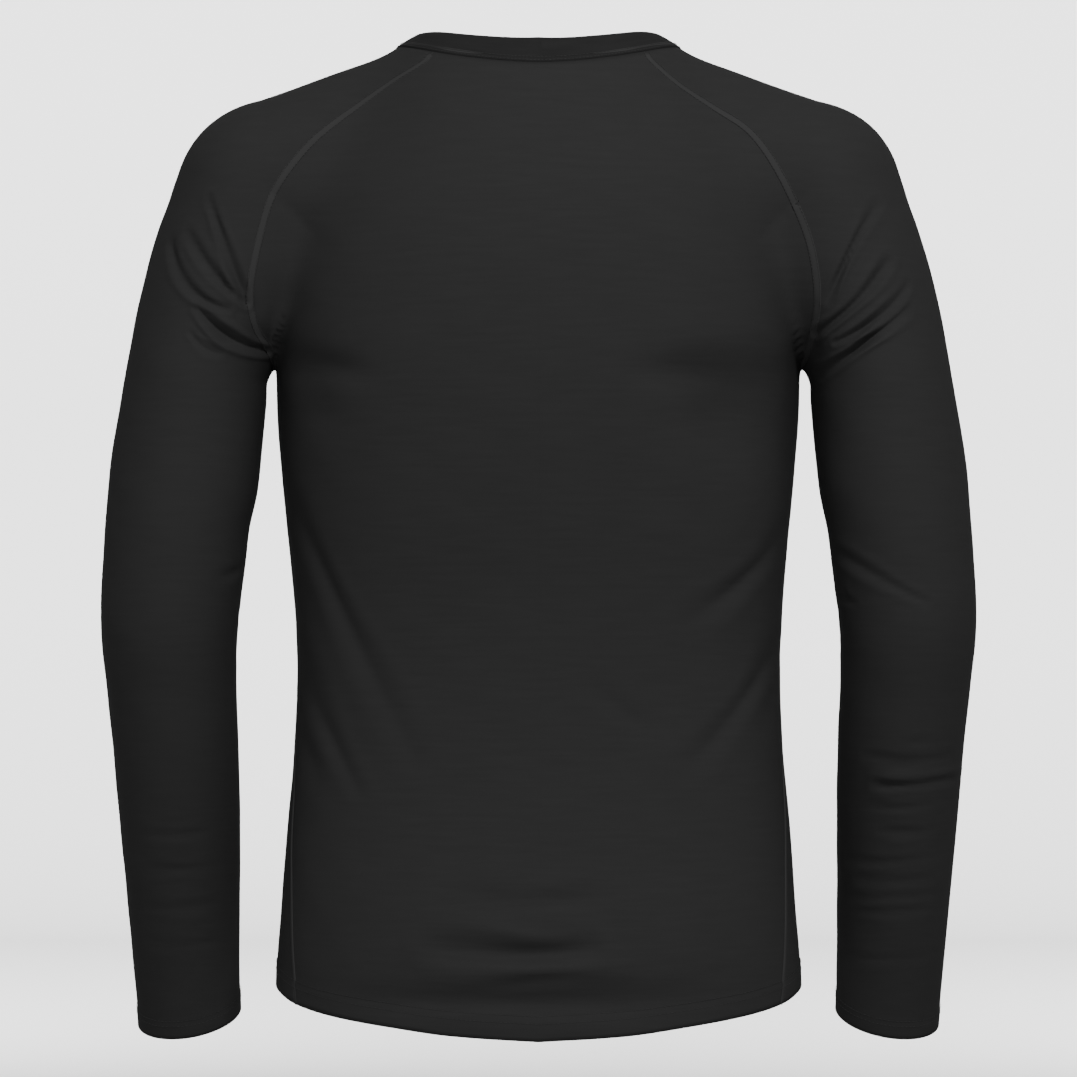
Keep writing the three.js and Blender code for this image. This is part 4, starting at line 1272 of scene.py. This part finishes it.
@dataclass
class Stitches:
    """Rows of stitches, one small thread after another, laid along lines by Geometry Nodes."""

    name: str
    kind: StitchKind
    lines: list[tuple[Array, Array]] = field(default_factory=list)
    seed: int = 7

    def add(self, points: Array, outward: Array) -> None:
        """Adds a row along points, with the way out at each."""
        self.lines.append((points, outward))

    def tree(self) -> bpy.types.NodeTree:
        """Makes the node tree that sets a thread at each step along each line.

        Returns:
            The tree, with pitch, length, thickness, seed and material as inputs.
        """
        tree = bpy.data.node_groups.new("thread_rows", "GeometryNodeTree")
        face = tree.interface
        kinds = {"Geometry": "Geometry", "Pitch": "Float", "Length": "Float", "Thickness": "Float"}
        kinds |= {"Seed": "Int", "Thread": "Material"}
        for name, kind in kinds.items():
            face.new_socket(name, in_out="INPUT", socket_type=f"NodeSocket{kind}")
        face.new_socket("Geometry", in_out="OUTPUT", socket_type="NodeSocketGeometry")
        start = add_node(tree, "NodeGroupInput")
        given = start.outputs
        curve = add_node(tree, "GeometryNodeMeshToCurve", Mesh=given["Geometry"])
        even = add_node(
            tree,
            "GeometryNodeResampleCurve",
            {"mode": "LENGTH"},
            Curve=curve.outputs["Curve"],
            Length=given["Pitch"],
        )
        thread = add_node(tree, "GeometryNodeMeshUVSphere", Segments=6, Rings=5, Radius=0.5)
        outward = add_node(
            tree, "GeometryNodeInputNamedAttribute", {"data_type": "FLOAT_VECTOR"}, Name="outward"
        )
        tangent = add_node(tree, "GeometryNodeInputTangent")
        along = add_node(
            tree, "FunctionNodeAlignRotationToVector", {"axis": "Z"}, Vector=tangent.outputs["Tangent"]
        )
        turned = add_node(
            tree,
            "FunctionNodeAlignRotationToVector",
            {"axis": "X", "pivot_axis": "Z"},
            Rotation=along.outputs["Rotation"],
            Vector=outward.outputs["Attribute"],
        )
        vary = add_node(
            tree, "FunctionNodeRandomValue", {"data_type": "FLOAT"}, i2=0.88, i3=1.08, Seed=given["Seed"]
        )
        length = maths(tree, "MULTIPLY", given["Length"], vary.outputs[1])
        size = add_node(tree, "ShaderNodeCombineXYZ", X=given["Thickness"], Y=given["Thickness"], Z=length)
        placed = add_node(
            tree,
            "GeometryNodeInstanceOnPoints",
            Points=even.outputs["Curve"],
            Instance=thread.outputs["Mesh"],
            Rotation=turned.outputs["Rotation"],
            Scale=size.outputs[0],
        )
        real = add_node(tree, "GeometryNodeRealizeInstances", Geometry=placed.outputs["Instances"])
        smooth = add_node(tree, "GeometryNodeSetShadeSmooth", Geometry=real.outputs["Geometry"])
        dyed = add_node(
            tree, "GeometryNodeSetMaterial", Geometry=smooth.outputs["Geometry"], Material=given["Thread"]
        )
        add_node(tree, "NodeGroupOutput", Geometry=dyed.outputs["Geometry"])
        return tree

    def build(self, material: bpy.types.Material) -> bpy.types.Object:
        """Builds all the rows as one plain mesh.

        Args:
            material: The thread.

        Returns:
            The stitches.
        """
        points = np.vstack([line for line, _ in self.lines]) * MM
        outward = np.vstack([out for _, out in self.lines])
        edges, start = [], 0
        for line, _ in self.lines:
            edges += [(i, i + 1) for i in range(start, start + len(line) - 1)]
            start += len(line)
        guide = bpy.data.meshes.new(self.name + "_guide")
        guide.from_pydata(points.tolist(), edges, [])
        guide.attributes.new("outward", "FLOAT_VECTOR", "POINT").data.foreach_set("vector", outward.ravel())
        rows = linked(self.name, guide)
        modifier = rows.modifiers.new("rows", "NODES")
        modifier.node_group = self.tree()
        pitch, length, thickness = (value * MM for value in self.kind.value)
        values = {"Pitch": pitch, "Length": length, "Thickness": thickness}
        values |= {"Seed": self.seed, "Thread": material}
        for item in modifier.node_group.interface.items_tree:
            if item.in_out == "INPUT" and item.name in values:
                modifier[item.identifier] = values[item.name]
        graph = bpy.context.evaluated_depsgraph_get()
        mesh = bpy.data.meshes.new_from_object(rows.evaluated_get(graph))
        rows.modifiers.clear()
        rows.data = mesh
        bpy.data.meshes.remove(guide)
        return rows


@dataclass
class Top:
    """The whole garment: panels, sleeves, neckband, seam covers and stitches."""

    report: Callable[[bpy.types.Object], None]
    form: FitForm = field(default_factory=FitForm)
    folds: Folds = field(default_factory=lambda: Folds(FOLDS))

    def __post_init__(self) -> None:
        """Lays the pattern on the form and makes the finishes."""
        self.pattern = Pattern(self.form)
        self.jersey = Jersey().build()
        # The neckband gets a darker copy of the same jersey: its darker colours are painted shade, standing
        # in for the shade that the band lies in
        self.band_jersey_painted_shade = Jersey(name="black_jersey_neckband_painted_shade", colour="1e1e1e", deeper="1a1a1a").build()
        self.cover = Plain("grey_black_cover_thread", "2a2a2a", 0.9, 0.05).build()
        self.thread = Plain("black_sewing_thread", "292929", 0.7, 0.12).build()

    def build(self) -> None:
        """Builds every piece and ties it to the frame."""
        needle = Stitches("hem_stitches", StitchKind.NEEDLE)
        sizes = {Face.BACK: ("back", 0.45, 0.71), Face.FRONT: ("front", 0.46, 0.68)}
        for face, (node, width, length) in sizes.items():
            panel = BodyPanel(self.pattern, self.folds, face)
            made = panel.build(f"{node}_panel", self.jersey)
            self.finish(made, node)
            for distance in (panel.hem_deep - 5, panel.hem_deep):
                self.stitch_across(needle, panel.grid, distance)
        for side, node in ((1, "sleeve_left"), (-1, "sleeve_right")):
            sleeve = Sleeve(self.pattern, self.folds, side)
            made = sleeve.build(f"{node}_shell", self.jersey)
            self.finish(made, node)
            rings = ringed(sleeve.tube)[::-1]
            for distance in (sleeve.hem_deep - 4, sleeve.hem_deep):
                self.stitch_across(needle, rings, distance)
        band = Neckband(self.pattern, self.folds)
        self.finish(band.build(self.band_jersey_painted_shade), "neckband")
        self.report(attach(needle.build(self.thread), "root"))
        self.seams()

    def stitch_across(self, rows: Stitches, grid: Array, distance: float) -> None:
        """Adds a row of stitches that follows an edge of a grid of points on the form."""
        line = line_from_edge(grid, distance)
        out = unit(self.form.slope(line))
        lifted = line + out * (self.folds.height(line, out) + STITCH_LIFT + HEM_RAISED)[:, None]
        rows.add(lifted, out)

    def seams(self) -> None:
        """Builds the covers over the raglan, side and neck seams, and the stitches on them."""
        rows = Stitches("seam_stitches", StitchKind.COVER, seed=11)
        cover = SeamCover(self.form, self.folds)
        side_cover = SeamCover(self.form, self.folds, width=3.6, height=0.7)
        for side, word in ((1, "left"), (-1, "right")):
            lines = {
                f"raglan_{face.name.lower()}": (cover, self.pattern.raglan_points(face, side, 120, 1.0)[1:-1])
                for face in Face
            }
            lines["side_seam"] = (side_cover, self.pattern.side_points(200, 1.0)[:-1])
            for name, (maker, points) in lines.items():
                placed = points if side > 0 else mirrored(points)
                self.report(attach(maker.build(f"{name}_{word}", placed, self.cover), "root"))
                if maker is cover:
                    edge = cover.width / 2 - 0.8
                    for offset in (-edge, edge):
                        rows.add(*maker.stitch_line(placed, offset, cover.lift + cover.height + 0.15))
        neck = self.pattern.neck(np.linspace(0, 2 * math.pi, 361))
        neck_cover = SeamCover(self.form, self.folds, width=4.8, aside=-3.2, closed=True)
        self.report(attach(neck_cover.build("neck_seam", neck, self.cover), "root"))
        for offset in (1.4, 4.2):
            rows.add(*cover.stitch_line(neck, -offset, 0.95))
        self.report(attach(rows.build(self.thread), "root"))

    def finish(self, made: bpy.types.Object, node: str) -> None:
        """Ties a cloth piece to the frame, hides the solid that it stands for and logs it.

        Args:
            made: The piece.
            node: The solid that it stands for.
        """
        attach(made, "root")
        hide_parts(node)
        self.report(made)


@dataclass
class Studio:
    """A plain pale sweep, soft lights and a long-lens camera level with the middle of the garment."""

    floor: float = -0.86
    wall: float = -3.2
    bend: float = 0.7

    def build(self) -> None:
        """Builds the sweep, the lights and the camera."""
        self.sweep()
        garment = (0.0, 0.0, -0.34)
        self.light("key", (-0.9, 2.6, 1.9), garment, 0.8, 122)
        self.light("fill", (0.7, 3.2, 0.7), garment, 1.2, 42)
        for side in (-1, 1):
            self.light(f"backdrop_{side + 1}", (side * 1.3, -1.0, 0.5), (side * 1.3, -3.2, 0.2), 1.6, 110)
        world = bpy.data.worlds.new("pale_room")
        world.use_nodes = True
        glow = world.node_tree.nodes["Background"].inputs
        glow["Color"].default_value = (1, 1, 1, 1)
        glow["Strength"].default_value = 0.55
        bpy.context.scene.world = world
        self.camera()

    def sweep(self) -> None:
        """Builds the floor, which curves up into a wall."""
        profile = [(6.0, self.floor)]
        for i in range(25):
            turn = math.radians(90 * i / 24)
            y = self.wall + self.bend * (1 - math.sin(turn))
            profile.append((y, self.floor + self.bend * (1 - math.cos(turn))))
        profile.append((self.wall, 4.0))
        points = np.array([[x, y, z] for x in (-6.0, 6.0) for y, z in profile])
        count = len(profile)
        faces = np.array([[i, i + count, i + count + 1, i + 1] for i in range(count - 1)])
        material = Plain("pale_studio_floor", "f4f4f4", 0.9, 0.1).build()
        sweep = mesh_object("studio_sweep", points, faces, material, closed=False)
        sweep.visible_diffuse = False
        sweep.visible_glossy = False

    def light(
        self,
        name: str,
        place: tuple[float, float, float],
        target: tuple[float, float, float],
        size: float,
        power: float,
    ) -> None:
        """Adds a square area light.

        Args:
            name: The light's name.
            place: Where it is, in metres.
            target: The point that it faces.
            size: Its side.
            power: Its power in watts.
        """
        data = bpy.data.lights.new(name, "AREA")
        data.size, data.energy = size, power
        lamp = linked(name, data)
        lamp.location = place
        way = Vector(target) - Vector(place)
        lamp.rotation_euler = way.to_track_quat("-Z", "Y").to_euler()

    def camera(self) -> None:
        """Adds the camera, behind the wearer."""
        data = bpy.data.cameras.new("camera")
        data.sensor_width = 36.0
        data.lens = 36.0 * VIEW_DISTANCE / VIEW_WIDTH
        data.clip_end = 50.0
        seen_from = linked("camera", data)
        seen_from.location = (0.0, VIEW_DISTANCE * MM, VIEW_HEIGHT * MM)
        seen_from.rotation_euler = (math.radians(90), 0.0, math.radians(180))
        bpy.context.scene.camera = seen_from


def report(piece: bpy.types.Object) -> None:
    """Logs a piece's name and how many faces it has."""
    logging.info("%s: %d faces", piece.name, len(piece.data.polygons))


def main() -> None:
    """Builds the garment and the studio."""
    logging.basicConfig(level=logging.INFO, format="%(message)s")
    Top(report).build()
    Studio().build()


if __name__ == "__main__":
    main()
